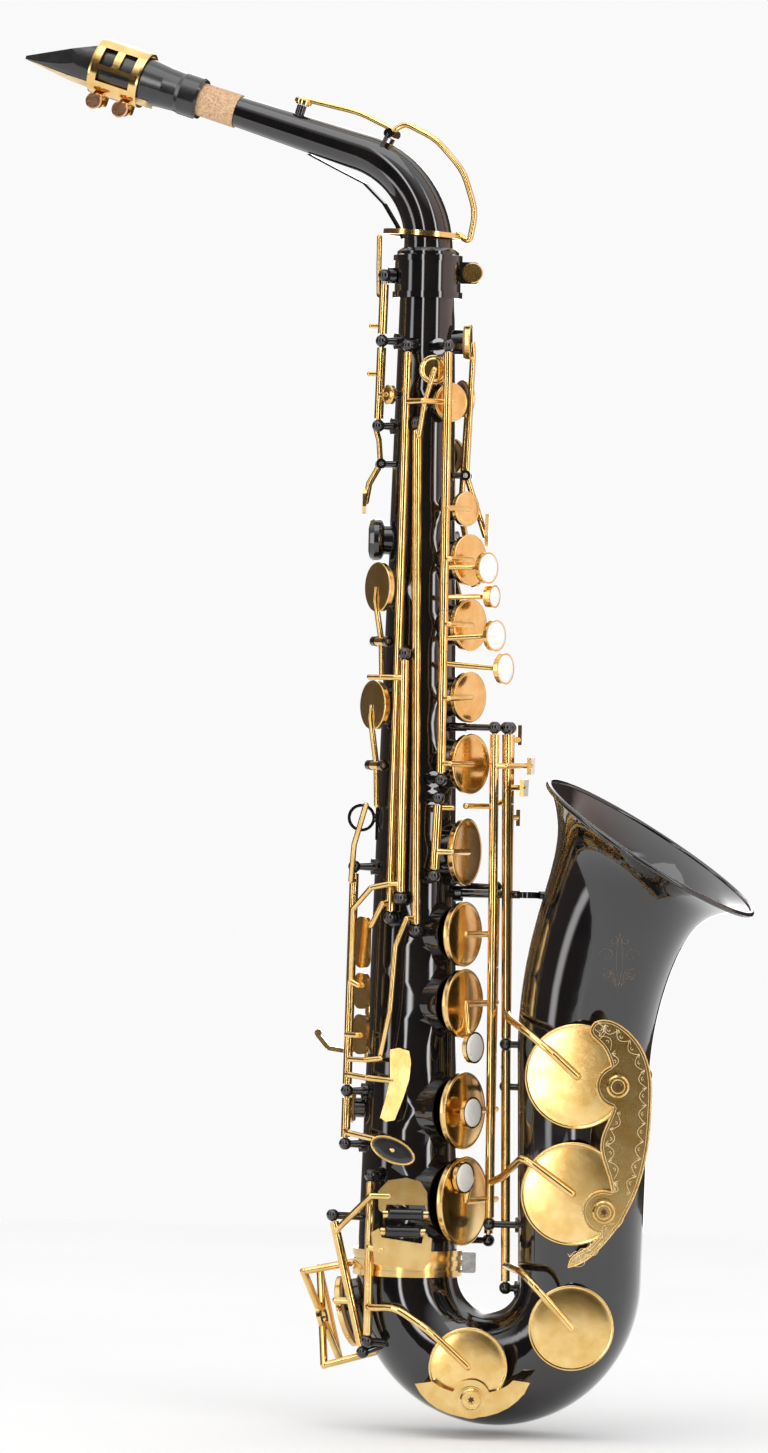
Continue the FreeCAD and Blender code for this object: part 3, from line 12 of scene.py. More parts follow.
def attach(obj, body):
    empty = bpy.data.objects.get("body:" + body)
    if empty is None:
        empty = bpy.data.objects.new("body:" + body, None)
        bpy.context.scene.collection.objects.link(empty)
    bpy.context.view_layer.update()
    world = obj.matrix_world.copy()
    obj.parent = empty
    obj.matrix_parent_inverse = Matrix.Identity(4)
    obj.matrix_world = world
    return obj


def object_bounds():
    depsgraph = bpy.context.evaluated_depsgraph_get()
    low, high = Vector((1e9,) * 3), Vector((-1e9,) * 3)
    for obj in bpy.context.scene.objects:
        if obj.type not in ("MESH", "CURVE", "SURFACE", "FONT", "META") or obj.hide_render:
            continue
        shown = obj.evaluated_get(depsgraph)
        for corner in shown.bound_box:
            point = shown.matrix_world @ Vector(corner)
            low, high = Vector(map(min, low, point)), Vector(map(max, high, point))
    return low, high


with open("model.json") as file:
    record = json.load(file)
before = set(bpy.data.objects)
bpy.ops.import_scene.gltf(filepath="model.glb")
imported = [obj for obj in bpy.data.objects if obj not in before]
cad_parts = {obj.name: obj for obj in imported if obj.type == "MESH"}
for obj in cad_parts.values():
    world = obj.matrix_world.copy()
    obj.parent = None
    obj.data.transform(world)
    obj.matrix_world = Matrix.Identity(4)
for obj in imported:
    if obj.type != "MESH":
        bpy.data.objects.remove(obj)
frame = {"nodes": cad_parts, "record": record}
cad_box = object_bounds()
nodes = frame["nodes"]
MM = 0.001

# ---- frame facts ----
KEY_SIDE_TURN = math.radians(15.0)    # the keys' side is turned this far from -Y
COS, SIN = math.cos(KEY_SIDE_TURN), math.sin(KEY_SIDE_TURN)
ACROSS = Vector((COS, SIN, 0))
OUT = Vector((SIN, -COS, 0))
UP = Vector((0, 0, 1))

# ---- sizes of the modelled pieces, mm ----
PIN_RADIUS = 4.0              # a key's loose discs: pins are slimmer than this, or thicker than the next
PIN_THICKNESS = 3.2
PAD_THICKNESS = 2.8           # pads are thicker than this, pearls thinner
PAD_GAP = 0.2                 # between a pad's edge and its cup's wall
JUST_PROUD = 0.02             # height of an engraved line over its face
STAR_SINK = 1.25              # depth of a bumper's driver hole
STAR_TIP, STAR_DIP = 1.95, 1.05
FACE_TOLERANCE = 0.0002       # metres: polygons this close in height make one face


# ---- materials ----
def node_material(name):
    mat = bpy.data.materials.new(name)
    mat.use_nodes = True
    tree = mat.node_tree
    return mat, tree, tree.nodes["Principled BSDF"]


def add_node(tree, kind, **values):
    node = tree.nodes.new(kind)
    for key, value in values.items():
        if key in node.inputs:
            node.inputs[key].default_value = value
        else:
            setattr(node, key, value)
    return node


def noise(tree, scale, detail=4.0, rough=0.55, stretch=(1, 1, 1)):
    """Noise in the object's own space, in units of the given scale per metre."""
    coords = add_node(tree, "ShaderNodeTexCoord")
    mapping = add_node(tree, "ShaderNodeMapping")
    mapping.inputs["Scale"].default_value = stretch
    texture = add_node(tree, "ShaderNodeTexNoise", Scale=scale, Detail=detail, Roughness=rough)
    tree.links.new(coords.outputs["Object"], mapping.inputs["Vector"])
    tree.links.new(mapping.outputs["Vector"], texture.inputs["Vector"])
    return texture.outputs["Fac"]


def ramp(tree, source, stops):
    node = add_node(tree, "ShaderNodeValToRGB")
    elements = node.color_ramp.elements
    while len(elements) < len(stops):
        elements.new(0.5)
    for element, (place, colour) in zip(elements, stops):
        element.position = place
        element.color = (*colour, 1)
    tree.links.new(source, node.inputs["Fac"])
    return node.outputs["Color"]


def spread(tree, source, low, high):
    node = add_node(tree, "ShaderNodeMapRange")
    node.inputs["To Min"].default_value = low
    node.inputs["To Max"].default_value = high
    tree.links.new(source, node.inputs["Value"])
    return node.outputs["Result"]


def bump(tree, shader, source, strength, distance):
    node = add_node(tree, "ShaderNodeBump", Strength=strength, Distance=distance)
    tree.links.new(source, node.inputs["Height"])
    tree.links.new(node.outputs["Normal"], shader.inputs["Normal"])


def plated(name, dark, light, metallic, rough, coat, coat_rough=0.04, grain=60.0, ripple=0.02):
    """Polished metal or lacquer: clouded colour, faint handling marks and a slightly uneven polish."""
    mat, tree, shader = node_material(name)
    cloud = noise(tree, grain, 5.0)
    tree.links.new(ramp(tree, cloud, [(0.35, dark), (0.65, light)]), shader.inputs["Base Color"])
    marks = noise(tree, grain * 9, 6.0, 0.7)
    tree.links.new(spread(tree, marks, rough[0], rough[1]), shader.inputs["Roughness"])
    bump(tree, shader, noise(tree, grain * 4, 2.0), ripple, 0.0002)
    shader.inputs["Metallic"].default_value = metallic
    shader.inputs["Coat Weight"].default_value = coat
    shader.inputs["Coat Roughness"].default_value = coat_rough
    return mat


def black_lacquer():
    return plated("black_lacquer", (0.004, 0.004, 0.005), (0.009, 0.007, 0.007), metallic=0.0, rough=(0.05, 0.12),
                  coat=1.0, coat_rough=0.02, grain=40.0, ripple=0.012)


def gold_lacquer():
    return plated("gold_lacquer", (0.80, 0.50, 0.15), (0.93, 0.66, 0.27), metallic=1.0, rough=(0.10, 0.24),
                  coat=0.5, coat_rough=0.05, grain=120.0, ripple=0.03)


def rose_brass():
    return plated("rose_brass", (0.70, 0.36, 0.20), (0.86, 0.52, 0.32), metallic=1.0, rough=(0.16, 0.30),
                  coat=0.3, coat_rough=0.08, grain=160.0, ripple=0.04)


def steel():
    return plated("steel", (0.42, 0.41, 0.40), (0.62, 0.60, 0.57), metallic=1.0, rough=(0.18, 0.34),
                  coat=0.0, coat_rough=0.1, grain=200.0, ripple=0.05)


def cork():
    mat, tree, shader = node_material("cork")
    grains = add_node(tree, "ShaderNodeTexVoronoi", Scale=900.0)
    coords = add_node(tree, "ShaderNodeTexCoord")
    tree.links.new(coords.outputs["Object"], grains.inputs["Vector"])
    flecks = noise(tree, 700.0, 6.0, 0.75)
    mix = add_node(tree, "ShaderNodeMath", operation="ADD")
    half = add_node(tree, "ShaderNodeMath", operation="MULTIPLY")
    half.inputs[1].default_value = 0.45
    tree.links.new(grains.outputs["Distance"], half.inputs[0])
    tree.links.new(half.outputs[0], mix.inputs[0])
    tree.links.new(flecks, mix.inputs[1])
    stops = [(0.36, (0.10, 0.045, 0.02)), (0.50, (0.36, 0.19, 0.09)), (0.66, (0.56, 0.34, 0.19)),
             (0.85, (0.68, 0.46, 0.28))]
    tree.links.new(ramp(tree, mix.outputs[0], stops), shader.inputs["Base Color"])
    shader.inputs["Roughness"].default_value = 0.82
    bump(tree, shader, mix.outputs[0], 0.5, 0.0003)
    return mat


def ebonite():
    return plated("ebonite", (0.008, 0.008, 0.009), (0.018, 0.018, 0.019), metallic=0.0, rough=(0.14, 0.30),
                  coat=0.6, coat_rough=0.08, grain=90.0, ripple=0.03)


def cane():
    mat, tree, shader = node_material("cane")
    fibre = noise(tree, 260.0, 8.0, 0.7, (0.06, 3.0, 1.0))
    stops = [(0.30, (0.50, 0.34, 0.15)), (0.52, (0.74, 0.58, 0.34)), (0.75, (0.85, 0.73, 0.50))]
    tree.links.new(ramp(tree, fibre, stops), shader.inputs["Base Color"])
    shader.inputs["Roughness"].default_value = 0.55
    bump(tree, shader, fibre, 0.35, 0.0002)
    return mat


def nacre():
    """Mother-of-pearl: drifting layers with cool and rosy bands."""
    mat, tree, shader = node_material("nacre")
    layers = noise(tree, 150.0, 3.0, 0.6, (1.0, 1.0, 2.2))
    stops = [(0.30, (0.80, 0.74, 0.66)), (0.43, (0.97, 0.94, 0.88)), (0.52, (0.86, 0.90, 0.87)),
             (0.60, (0.98, 0.95, 0.90)), (0.74, (0.93, 0.82, 0.79))]
    tree.links.new(ramp(tree, layers, stops), shader.inputs["Base Color"])
    tree.links.new(spread(tree, noise(tree, 400.0), 0.12, 0.28), shader.inputs["Roughness"])
    shader.inputs["Coat Weight"].default_value = 0.3
    shader.inputs["Coat Roughness"].default_value = 0.05
    bump(tree, shader, layers, 0.06, 0.0003)
    return mat


def pad_leather():
    mat, tree, shader = node_material("pad_leather")
    pores = add_node(tree, "ShaderNodeTexVoronoi", Scale=2600.0)
    coords = add_node(tree, "ShaderNodeTexCoord")
    tree.links.new(coords.outputs["Object"], pores.inputs["Vector"])
    shade = noise(tree, 220.0, 5.0)
    stops = [(0.3, (0.30, 0.16, 0.075)), (0.7, (0.47, 0.28, 0.15))]
    tree.links.new(ramp(tree, shade, stops), shader.inputs["Base Color"])
    shader.inputs["Roughness"].default_value = 0.58
    bump(tree, shader, pores.outputs["Distance"], 0.35, 0.0001)
    return mat


# Painted shade material: a dark fibrous colour for the shade inside the bumpers' driver holes.
def painted_recess_shade(name, dark, light):
    mat, tree, shader = node_material(name)
    fibres = noise(tree, 2200.0, 8.0, 0.8)
    tree.links.new(ramp(tree, fibres, [(0.3, dark), (0.7, light)]), shader.inputs["Base Color"])
    shader.inputs["Roughness"].default_value = 0.95
    shader.inputs["Sheen Weight"].default_value = 0.4
    bump(tree, shader, fibres, 0.7, 0.0003)
    return mat


def black_moulding(name, rough):
    return plated(name, (0.010, 0.010, 0.011), (0.022, 0.021, 0.021), metallic=0.0, rough=rough,
                  coat=0.3, coat_rough=0.12, grain=130.0, ripple=0.06)


def engraving(name, dark, light, rough):
    return plated(name, dark, light, metallic=1.0, rough=rough, coat=0.0, coat_rough=0.3, grain=500.0, ripple=0.1)


BLACK, GOLD, ROSE, STEEL = black_lacquer(), gold_lacquer(), rose_brass(), steel()
# EBONITE_AND_PAINTED_REFLECTION is the mouthpiece's own black, and is also used as painted reflection for the dark
# plate on the F# trill touch.
CORK, EBONITE_AND_PAINTED_REFLECTION, CANE, NACRE = cork(), ebonite(), cane(), nacre()
LEATHER = pad_leather()
ROLLER = black_moulding("roller_black", (0.10, 0.22))
# Painted shade: dark colour for the inside of the bumpers' driver holes.
PAINTED_RECESS_SHADE = painted_recess_shade("painted_recess_shade", (0.05, 0.02, 0.015), (0.16, 0.06, 0.04))
ENGRAVED = engraving("engraved_line", (0.90, 0.74, 0.44), (1.0, 0.90, 0.64), (0.40, 0.6))
ENGRAVED_BLACK = engraving("bell_engraving", (0.20, 0.16, 0.12), (0.34, 0.27, 0.19), (0.35, 0.55))

BLACK_NODES = ("body_tube", "bow", "bell", "neck_receiver", "neck_tube", "neck_brace", "strap_ring",
               "bell_brace", "thumb_rest", "posts", "neck_key_saddle")
OTHER_NODES = {"neck_cork": CORK, "mouthpiece": EBONITE_AND_PAINTED_REFLECTION, "reed": CANE, "hinge_rods": STEEL,
               "bow_clamp": STEEL, "low_c_roller": ROLLER, "low_e_flat_roller": ROLLER, "ligature_screw_1": ROSE,
               "ligature_screw_2": ROSE}


# ---- pieces of a CAD node ----
def islands(obj):
    """Each closed solid of a node as (polygon indices, points). A solid's polygons follow one another, and it ends
    where every edge so far has met its opposite."""
    mesh = obj.data
    place = {}
    home = [place.setdefault(tuple(round(c * 1e6) for c in v.co), len(place)) for v in mesh.vertices]
    found, polys, open_edges = [], [], {}
    for poly in mesh.polygons:
        polys.append(poly.index)
        ring = list(dict.fromkeys(home[v] for v in poly.vertices))
        if len(ring) > 2:
            for p, q in zip(ring, ring[1:] + ring[:1]):
                if open_edges.get((q, p)):
                    open_edges[(q, p)] -= 1
                    if not open_edges[(q, p)]:
                        del open_edges[(q, p)]
                else:
                    open_edges[(p, q)] = open_edges.get((p, q), 0) + 1
        if not open_edges:
            verts = {v for p in polys for v in mesh.polygons[p].vertices}
            found.append((polys, [mesh.vertices[v].co.copy() for v in verts]))
            polys = []
    if polys:
        found.append((polys, [mesh.vertices[v].co.copy() for p in polys for v in mesh.polygons[p].vertices]))
    return [solid for solid in found if len(solid[0]) > 8]


def disc_facts(points):
    """Centre, axis, thickness and radius of a round disc, from its points."""
    cloud = np.array(sorted({tuple(round(c, 7) for c in p) for p in points}))
    middle = cloud.mean(axis=0)
    _, ways = np.linalg.eigh(np.cov((cloud - middle).T))
    local = (cloud - middle) @ ways
    sizes = local.max(axis=0) - local.min(axis=0)
    middle = middle + ways @ ((local.max(axis=0) + local.min(axis=0)) / 2)
    across = int(np.argmin(sizes))
    return Vector(middle), Vector(ways[:, across]), float(sizes[across]), float(max(sizes) / 2)


def disc_kind(radius, thick):
    """What a key's loose disc is, from its radius and thickness in metres."""
    if radius / MM < PIN_RADIUS or thick / MM > PIN_THICKNESS:
        return "pin"
    return "pad" if thick / MM > PAD_THICKNESS else "pearl"


def paint():
    """Gives every node its material, and the discs of key nodes their leather, pearl or steel. Returns each key's
    discs as (kind, centre, axis, thickness, radius)."""
    discs = {}
    for name, obj in nodes.items():
        base = BLACK if name in BLACK_NODES else OTHER_NODES.get(name, GOLD)
        obj.data.materials.clear()
        obj.data.materials.append(base)
        for poly in obj.data.polygons:
            poly.material_index = 0
        if not (name.endswith("_key") or name.endswith("_lever")):
            continue
        parts = sorted(islands(obj), key=lambda g: -len(g[0]))
        loose = []
        extra = {"pad": LEATHER, "pearl": NACRE, "pin": STEEL}
        for material in extra.values():
            obj.data.materials.append(material)
        slots = {kind: i + 1 for i, kind in enumerate(extra)}
        for polys, points in parts[1:]:
            centre, axis, thick, radius = disc_facts(points)
            kind = disc_kind(radius, thick)
            for index in polys:
                obj.data.polygons[index].material_index = slots[kind]
            loose.append((kind, centre, axis, thick, radius))
        discs[name] = loose
    return discs


key_discs = paint()


# ---- modelled pieces ----
def owner(node):
    """The body that a CAD node rides on."""
    for body, members in frame["record"]["behaviour"]["bodies"].items():
        if node in members:
            return body


def piece(name, mesh_or_curve, material, body, smooth=True):
    obj = bpy.data.objects.new(name, mesh_or_curve)
    bpy.context.scene.collection.objects.link(obj)
    obj.data.materials.append(material)
    if smooth and obj.type == "MESH":
        for poly in obj.data.polygons:
            poly.use_smooth = True
    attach(obj, body)
    return obj


def lathe(profile, centre, axis, count=64):
    """A mesh turned about axis. profile is (radius, height) in mm; a radius of 0 closes it."""
    way = axis.normalized()
    side = way.orthogonal().normalized()
    other = way.cross(side)
    mesh = bpy.data.meshes.new("turned")
    bm = bmesh.new()
    rows = []
    for r, h in profile:
        middle = centre + way * (h * MM)
        if r == 0:
            rows.append([bm.verts.new(middle)])
            continue
        turns = [2 * math.pi * i / count for i in range(count)]
        rows.append([bm.verts.new(middle + (side * math.cos(t) + other * math.sin(t)) * (r * MM))
                     for t in turns])
    for low, high in zip(rows, rows[1:]):
        for i in range(count):
            j = (i + 1) % count
            corners = [low[i % len(low)], low[j % len(low)], high[j % len(high)], high[i % len(high)]]
            corners = list(dict.fromkeys(corners))
            if len(corners) > 2:
                bm.faces.new(corners)
    bmesh.ops.recalc_face_normals(bm, faces=bm.faces)
    bm.to_mesh(mesh)
    bm.free()
    return mesh


def line_curve(points, radius, closed=False):
    """A round wire through the points."""
    data = bpy.data.curves.new("wire", "CURVE")
    data.dimensions = "3D"
    data.bevel_depth = radius * MM
    data.bevel_resolution = 2
    data.use_fill_caps = True
    add_line(data, points, closed)
    return data


def add_line(data, points, closed=False):
    spline = data.splines.new("POLY")
    spline.points.add(len(points) - 1)
    for spot, p in zip(spline.points, points):
        spot.co = (*p, 1)
    spline.use_cyclic_u = closed


def pad_way(node, centre, axis):
    """The way a pad faces: away from its cup's crown."""
    mesh = nodes[node].data
    near = [mesh.vertices[v].co for poly in mesh.polygons
            if poly.material_index == 0 and (poly.center - centre).length < 0.03
            for v in poly.vertices]
    side = sum((p - centre).dot(axis) for p in near
               if ((p - centre) - axis * (p - centre).dot(axis)).length < 0.004)
    if side == 0:
        side = sum((p - centre).dot(axis) for p in near)
    return axis * -1 if side > 0 else axis


def pads_of_keys():
    """Each pad as (node, count within the node, centre, the way it faces, thickness, radius)."""
    for node, loose in key_discs.items():
        pads = [disc for disc in loose if disc[0] == "pad"]
        for count, (_, centre, axis, thick, radius) in enumerate(pads):
            yield node, count, centre, pad_way(node, centre, axis), thick / MM, radius / MM


def make_pads():
    """Crowned leather pads with a domed metal resonator, over the felt discs in the cups."""
    for node, count, centre, way, t, r in pads_of_keys():
        skin = [(r + 0.03, -t / 2 + 0.4), (r + 0.06, t / 2 - 1.0), (r + 0.14, t / 2 - 0.6),
                (r + 0.08, t / 2 - 0.2), (r - 0.35, t / 2 + 0.05), (r - 1.1, t / 2 + 0.11),
                (r - 1.7, t / 2 + 0.06), (r - 2.1, t / 2 + 0.05), (r - 2.6, t / 2 + 0.08),
                (r - 3.4, t / 2 + 0.13), (0.55 * r, t / 2 + 0.12), (0.52 * r, t / 2 + 0.05), (0, t / 2 + 0.05)]
        pad = piece(f"{node}_pad_{count}", lathe(skin, centre, way), LEATHER, owner(node))
        dome = [(0.50 * r, t / 2 + 0.06), (0.50 * r, t / 2 + 0.25), (0.42 * r, t / 2 + 0.5),
                (0.3 * r, t / 2 + 0.42), (0.16 * r, t / 2 + 0.5), (1.3, t / 2 + 0.55), (1.25, t / 2 + 0.8),
                (0.7, t / 2 + 1.0), (0, t / 2 + 1.05)]
        piece(f"{node}_resonator_{count}", lathe(dome, centre, way, 48), ROSE, owner(node))


def make_crowns():
    """A spun crown with a rolled rim over each key cup."""
    for node, count, centre, way, thick, radius in pads_of_keys():
        r, t = radius + PAD_GAP, thick / 2
        spun = [(r + 0.86, t - 1.6), (r + 0.90, t - 0.4), (r + 0.95, t + 0.1), (r + 0.98, t + 0.38),
                (r + 0.84, t + 0.66), (r + 0.55, t + 0.82), (r + 0.22, t + 0.84), (r - 0.10, t + 0.72),
                (r - 0.45, t + 0.70), (0.9 * r, t + 0.88), (0.75 * r, t + 1.08), (0.6 * r, t + 1.20),
                (0.45 * r, t + 1.28), (0.25 * r, t + 1.35), (0.1 * r, t + 1.38), (0, t + 1.38)]
        piece(f"{node}_crown_{count}", lathe(spun, centre, way * -1, 96), GOLD, owner(node))


def front_outlines(node, way, level):
    """Closed outlines of a node's flat face at that level along way, as lists of points, longest first."""
    mesh = nodes[node].data
    spots = {}
    edges = {}
    for poly in mesh.polygons:
        if poly.normal.dot(way) < 0.99 or abs(poly.center.dot(way) - level) > FACE_TOLERANCE:
            continue
        keys = [tuple(round(c, 6) for c in mesh.vertices[v].co) for v in poly.vertices]
        for k, v in zip(keys, poly.vertices):
            spots[k] = mesh.vertices[v].co.copy()
        for a, b in zip(keys, keys[1:] + keys[:1]):
            edges[(a, b)] = edges.get((a, b), 0) + 1
    border = {a: b for (a, b) in edges if (b, a) not in edges}
    loops = []
    while border:
        start = next(iter(border))
        loop = [start]
        while loop[-1] in border:
            loop.append(border.pop(loop[-1]))
        loops.append([spots[k] for k in loop[:-1] if k in spots])
    return sorted(loops, key=lambda loop: -sum((a - b).length for a, b in zip(loop, loop[1:])))


def even(points, step):
    """Points every step mm along a closed outline."""
    spots, left = [], 0.0
    ring = points + points[:1]
    for a, b in zip(ring, ring[1:]):
        span = (b - a).length
        while left <= span and span > 0:
            spots.append(a + (b - a) * (left / span))
            left += step * MM
        left -= span
    return spots


def inset(points, way, distance):
    """The outline moved inwards by distance mm; the outline runs anticlockwise seen from its front."""
    moved = []
    for before, here, after in zip(points[-1:] + points[:-1], points, points[1:] + points[:1]):
        along = (after - before).normalized()
        moved.append(here + way.cross(along) * (distance * MM))
    return moved


def front_level(node, way):
    """Height along way of a node's largest flat face that looks that way."""
    levels = {}
    for poly in nodes[node].data.polygons:
        if poly.normal.dot(way) > 0.995:
            k = round(poly.center.dot(way), 4)
            levels[k] = levels.get(k, 0) + poly.area
    return max(levels, key=levels.get)


def trim_guard(node, way, body):
    """Rolled edge, border line and leaf scrolls of a key guard."""
    loops = front_outlines(node, way, front_level(node, way))
    outline = even(loops[0], 0.6)
    piece(f"{node}_edge", line_curve(inset(outline, way, 0.32), 0.36, True), GOLD, body)
    lift = way * (JUST_PROUD * MM)
    border = [p + lift for p in inset(even(loops[0], 1.2), way, 1.6)]
    lines = line_curve(border, 0.11, True)
    rng = random.Random(4)
    coarse = even(loops[0], 9.0)
    holes = [sum(loop, Vector()) / len(loop) for loop in loops[1:]]
    for i, p in enumerate(coarse):
        after = coarse[(i + 1) % len(coarse)]
        along = (after - p).normalized()
        inward = way.cross(along)
        start = p + inward * (2.6 * MM) + lift
        span = (after - p).length
        if any((start - h).length < 0.0125 for h in holes):
            continue
        steps = [k / 12 for k in range(13)]
        lobe = [start + along * (span * f) + inward * (math.sin(math.pi * f) * 3.4 * MM) for f in steps]
        add_line(lines, lobe)
        turns = [0.45 * k for k in range(11)]
        eye = start + along * (span * 0.5) + inward * (1.4 * MM)
        curl = [eye + (along * math.cos(t) + inward * math.sin(t)) * ((0.95 - 0.07 * k) * MM)
                for k, t in enumerate(turns)]
        add_line(lines, curl)
        for angle in (-0.7, 0.0, 0.7):
            reach = rng.uniform(1.6, 2.3) * MM
            leaf = [start + (along * math.sin(angle) + inward * math.cos(angle)) * (reach * f)
                    for f in (0, 0.5, 1)]
            add_line(lines, leaf)
    piece(f"{node}_engraving", lines, ENGRAVED, body)


def largest_face(node):
    """Direction and height of a node's largest flat face."""
    found = {}
    for poly in nodes[node].data.polygons:
        facing = tuple(round(c, 2) for c in poly.normal)
        key = (facing, round(poly.center.dot(Vector(facing).normalized()), 4))
        entry = found.setdefault(key, [0.0, poly.normal.copy()])
        entry[0] += poly.area
    front = [(entry[0], key, entry[1]) for key, entry in found.items() if entry[1].dot(OUT) > 0.3]
    _, _, way = max(front, key=lambda f: f[0])
    return way, front_level(node, way)


def painted_reflection_plate(node, margin, material):
    """A thin dark plate laid on a touch's face, with the touch's own metal left as a rim: a painted reflection,
    standing for the dark surroundings mirrored in the polished touch.
    """
    way, level = largest_face(node)
    loops = front_outlines(node, way, level)
    outline = even(loops[0], 0.5)
    edge = inset(outline, way, margin)
    centre = sum(edge, Vector()) / len(edge)
    mesh = bpy.data.meshes.new("painted_reflection_plate")
    bm = bmesh.new()
    rings = []
    for size, rise in ((1.0, 0.02), (0.985, 0.14), (0.94, 0.20), (0.6, 0.22)):
        rings.append([bm.verts.new(centre + (p - centre) * size + way * (rise * MM)) for p in edge])
    for low, high in zip(rings, rings[1:]):
        for i in range(len(low)):
            j = (i + 1) % len(low)
            bm.faces.new((low[i], low[j], high[j], high[i]))
    bm.faces.new(rings[-1])
    bm.to_mesh(mesh)
    bm.free()
    piece(f"{node}_inlay", mesh, material, owner(node))
    rim = [p + way * (0.05 * MM) for p in inset(outline, way, 0.5)]
    piece(f"{node}_rim", line_curve(rim, 0.45, True), GOLD, owner(node))


def engrave_bell():
    """Light scrollwork cut into the front of the bell."""
    bell = nodes["bell"]
    lines = bpy.data.curves.new("scrolls", "CURVE")
    lines.dimensions = "3D"
    lines.bevel_depth = 0.09 * MM
    lines.bevel_resolution = 1

    def lay(flat):
        points = []
        for across, up in flat:
            start = ACROSS * ((129.0 + across) * MM) + UP * ((-68.0 + up) * MM) + OUT * 0.2
            hit, place, normal, _ = bell.ray_cast(start, OUT * -1)
            if hit:
                points.append(place + normal * (0.03 * MM))
        if len(points) > 1:
            add_line(lines, points)

    def spiral(x, y, size, hand, turn):
        steps = [0.25 * k for k in range(26)]
        lay([(x + hand * size * (1 - 0.13 * t) * math.cos(t + turn),
              y + size * (1 - 0.13 * t) * math.sin(t + turn)) for t in steps])

    for hand in (-1, 1):
        spiral(hand * 6.0, 3.0, 4.2, hand, 0.0)
        spiral(hand * 6.6, -6.5, 3.2, hand, 1.2)
        spiral(hand * 3.2, 10.5, 2.4, hand, 2.0)
        for k in range(5):
            lean = 0.35 + 0.22 * k
            lay([(hand * (1.2 + f * 7 * math.sin(lean)), -12 + f * 9 * math.cos(lean) + 1.5 * math.sin(3 * f))
                 for f in [i / 8 for i in range(9)]])
        lay([(hand * 1.6 * math.sin(math.pi * f), -12 + 26 * f) for f in [i / 24 for i in range(25)]])
    piece("bell_scrolls", lines, ENGRAVED_BLACK, "horn")


def star_seats():
    """Rings on each bumper's head, and in its star-shaped driver hole a dark star sheet of painted shade standing
    for the shade inside the hole.
    """
    for count, (polys, points) in enumerate(islands(nodes["guard_bumpers"])):
        centre, axis, thick, radius = disc_facts(points)
        cloud = np.array([tuple(p) for p in points])
        way = axis if count_side(cloud, centre, axis) else axis * -1
        top = max(p.dot(way) for p in points)
        head = centre + way * (top - centre.dot(way))
        body = owner("guard_bumpers")
        groove = [(3.1, 0.02), (3.25, 0.16), (3.4, 0.16), (3.55, 0.02)]
        piece(f"bumper_ring_{count}", lathe(groove, head, way, 48), GOLD, body)
        outer = [(4.35, -0.22), (4.5, 0.0), (4.75, 0.0), (4.9, -0.25)]
        piece(f"bumper_rim_{count}", lathe(outer, head, way, 48), GOLD, body)
        # The star is painted shade: a dark sheet at the floor of the driver hole, where there is only shade.
        mesh = bpy.data.meshes.new("star")
        bm = bmesh.new()
        side = way.orthogonal().normalized()
        other = way.cross(side)
        base = head - way * (STAR_SINK * MM)
        tips = [base
                + (side * math.cos(t) + other * math.sin(t)) * ((STAR_TIP if k % 2 == 0 else STAR_DIP) * MM)
                for k, t in enumerate(2 * math.pi * i / 12 for i in range(12))]
        face = bm.faces.new([bm.verts.new(p) for p in tips])
        bmesh.ops.inset_region(bm, faces=[face], thickness=0.25 * MM, depth=-0.2 * MM)
        bm.to_mesh(mesh)
        bm.free()
        piece(f"bumper_star_{count}", mesh, PAINTED_RECESS_SHADE, body, False)


def count_side(cloud, centre, axis):
    """True if the wider head of a stepped round piece lies on axis's side."""
    offsets = cloud - np.array(centre)
    heights = offsets @ np.array(axis)
    radii = np.linalg.norm(offsets - np.outer(heights, np.array(axis)), axis=1)
    return heights[radii > radii.max() * 0.9].mean() > 0


make_pads()
make_crowns()
trim_guard("bell_key_guard", OUT, "horn")
star_seats()
# Painted reflection: the black plate on the F# trill touch stands for the dark reflection in its polished face.
painted_reflection_plate("f_sharp_trill_key", 1.3, EBONITE_AND_PAINTED_REFLECTION)
engrave_bell()


# ---- floor, light and camera ----
FLOOR_RADIUS = 1.6
FLOOR_GAP = 0.004             # under the lowest point of the bow


def make_floor():
    lowest = cad_box[0][2]
    place = (0, 0, lowest - FLOOR_GAP)
    bpy.ops.mesh.primitive_circle_add(vertices=96, radius=FLOOR_RADIUS, fill_type="NGON", location=place)
    floor = bpy.context.object
    floor.name = "floor"
    mat, tree, shader = node_material("pale_floor")
    stops = [(0.3, (0.90, 0.90, 0.90)), (0.7, (0.93, 0.93, 0.93))]
    tree.links.new(ramp(tree, noise(tree, 3.0), stops), shader.inputs["Base Color"])
    shader.inputs["Roughness"].default_value = 0.9
    floor.data.materials.append(mat)


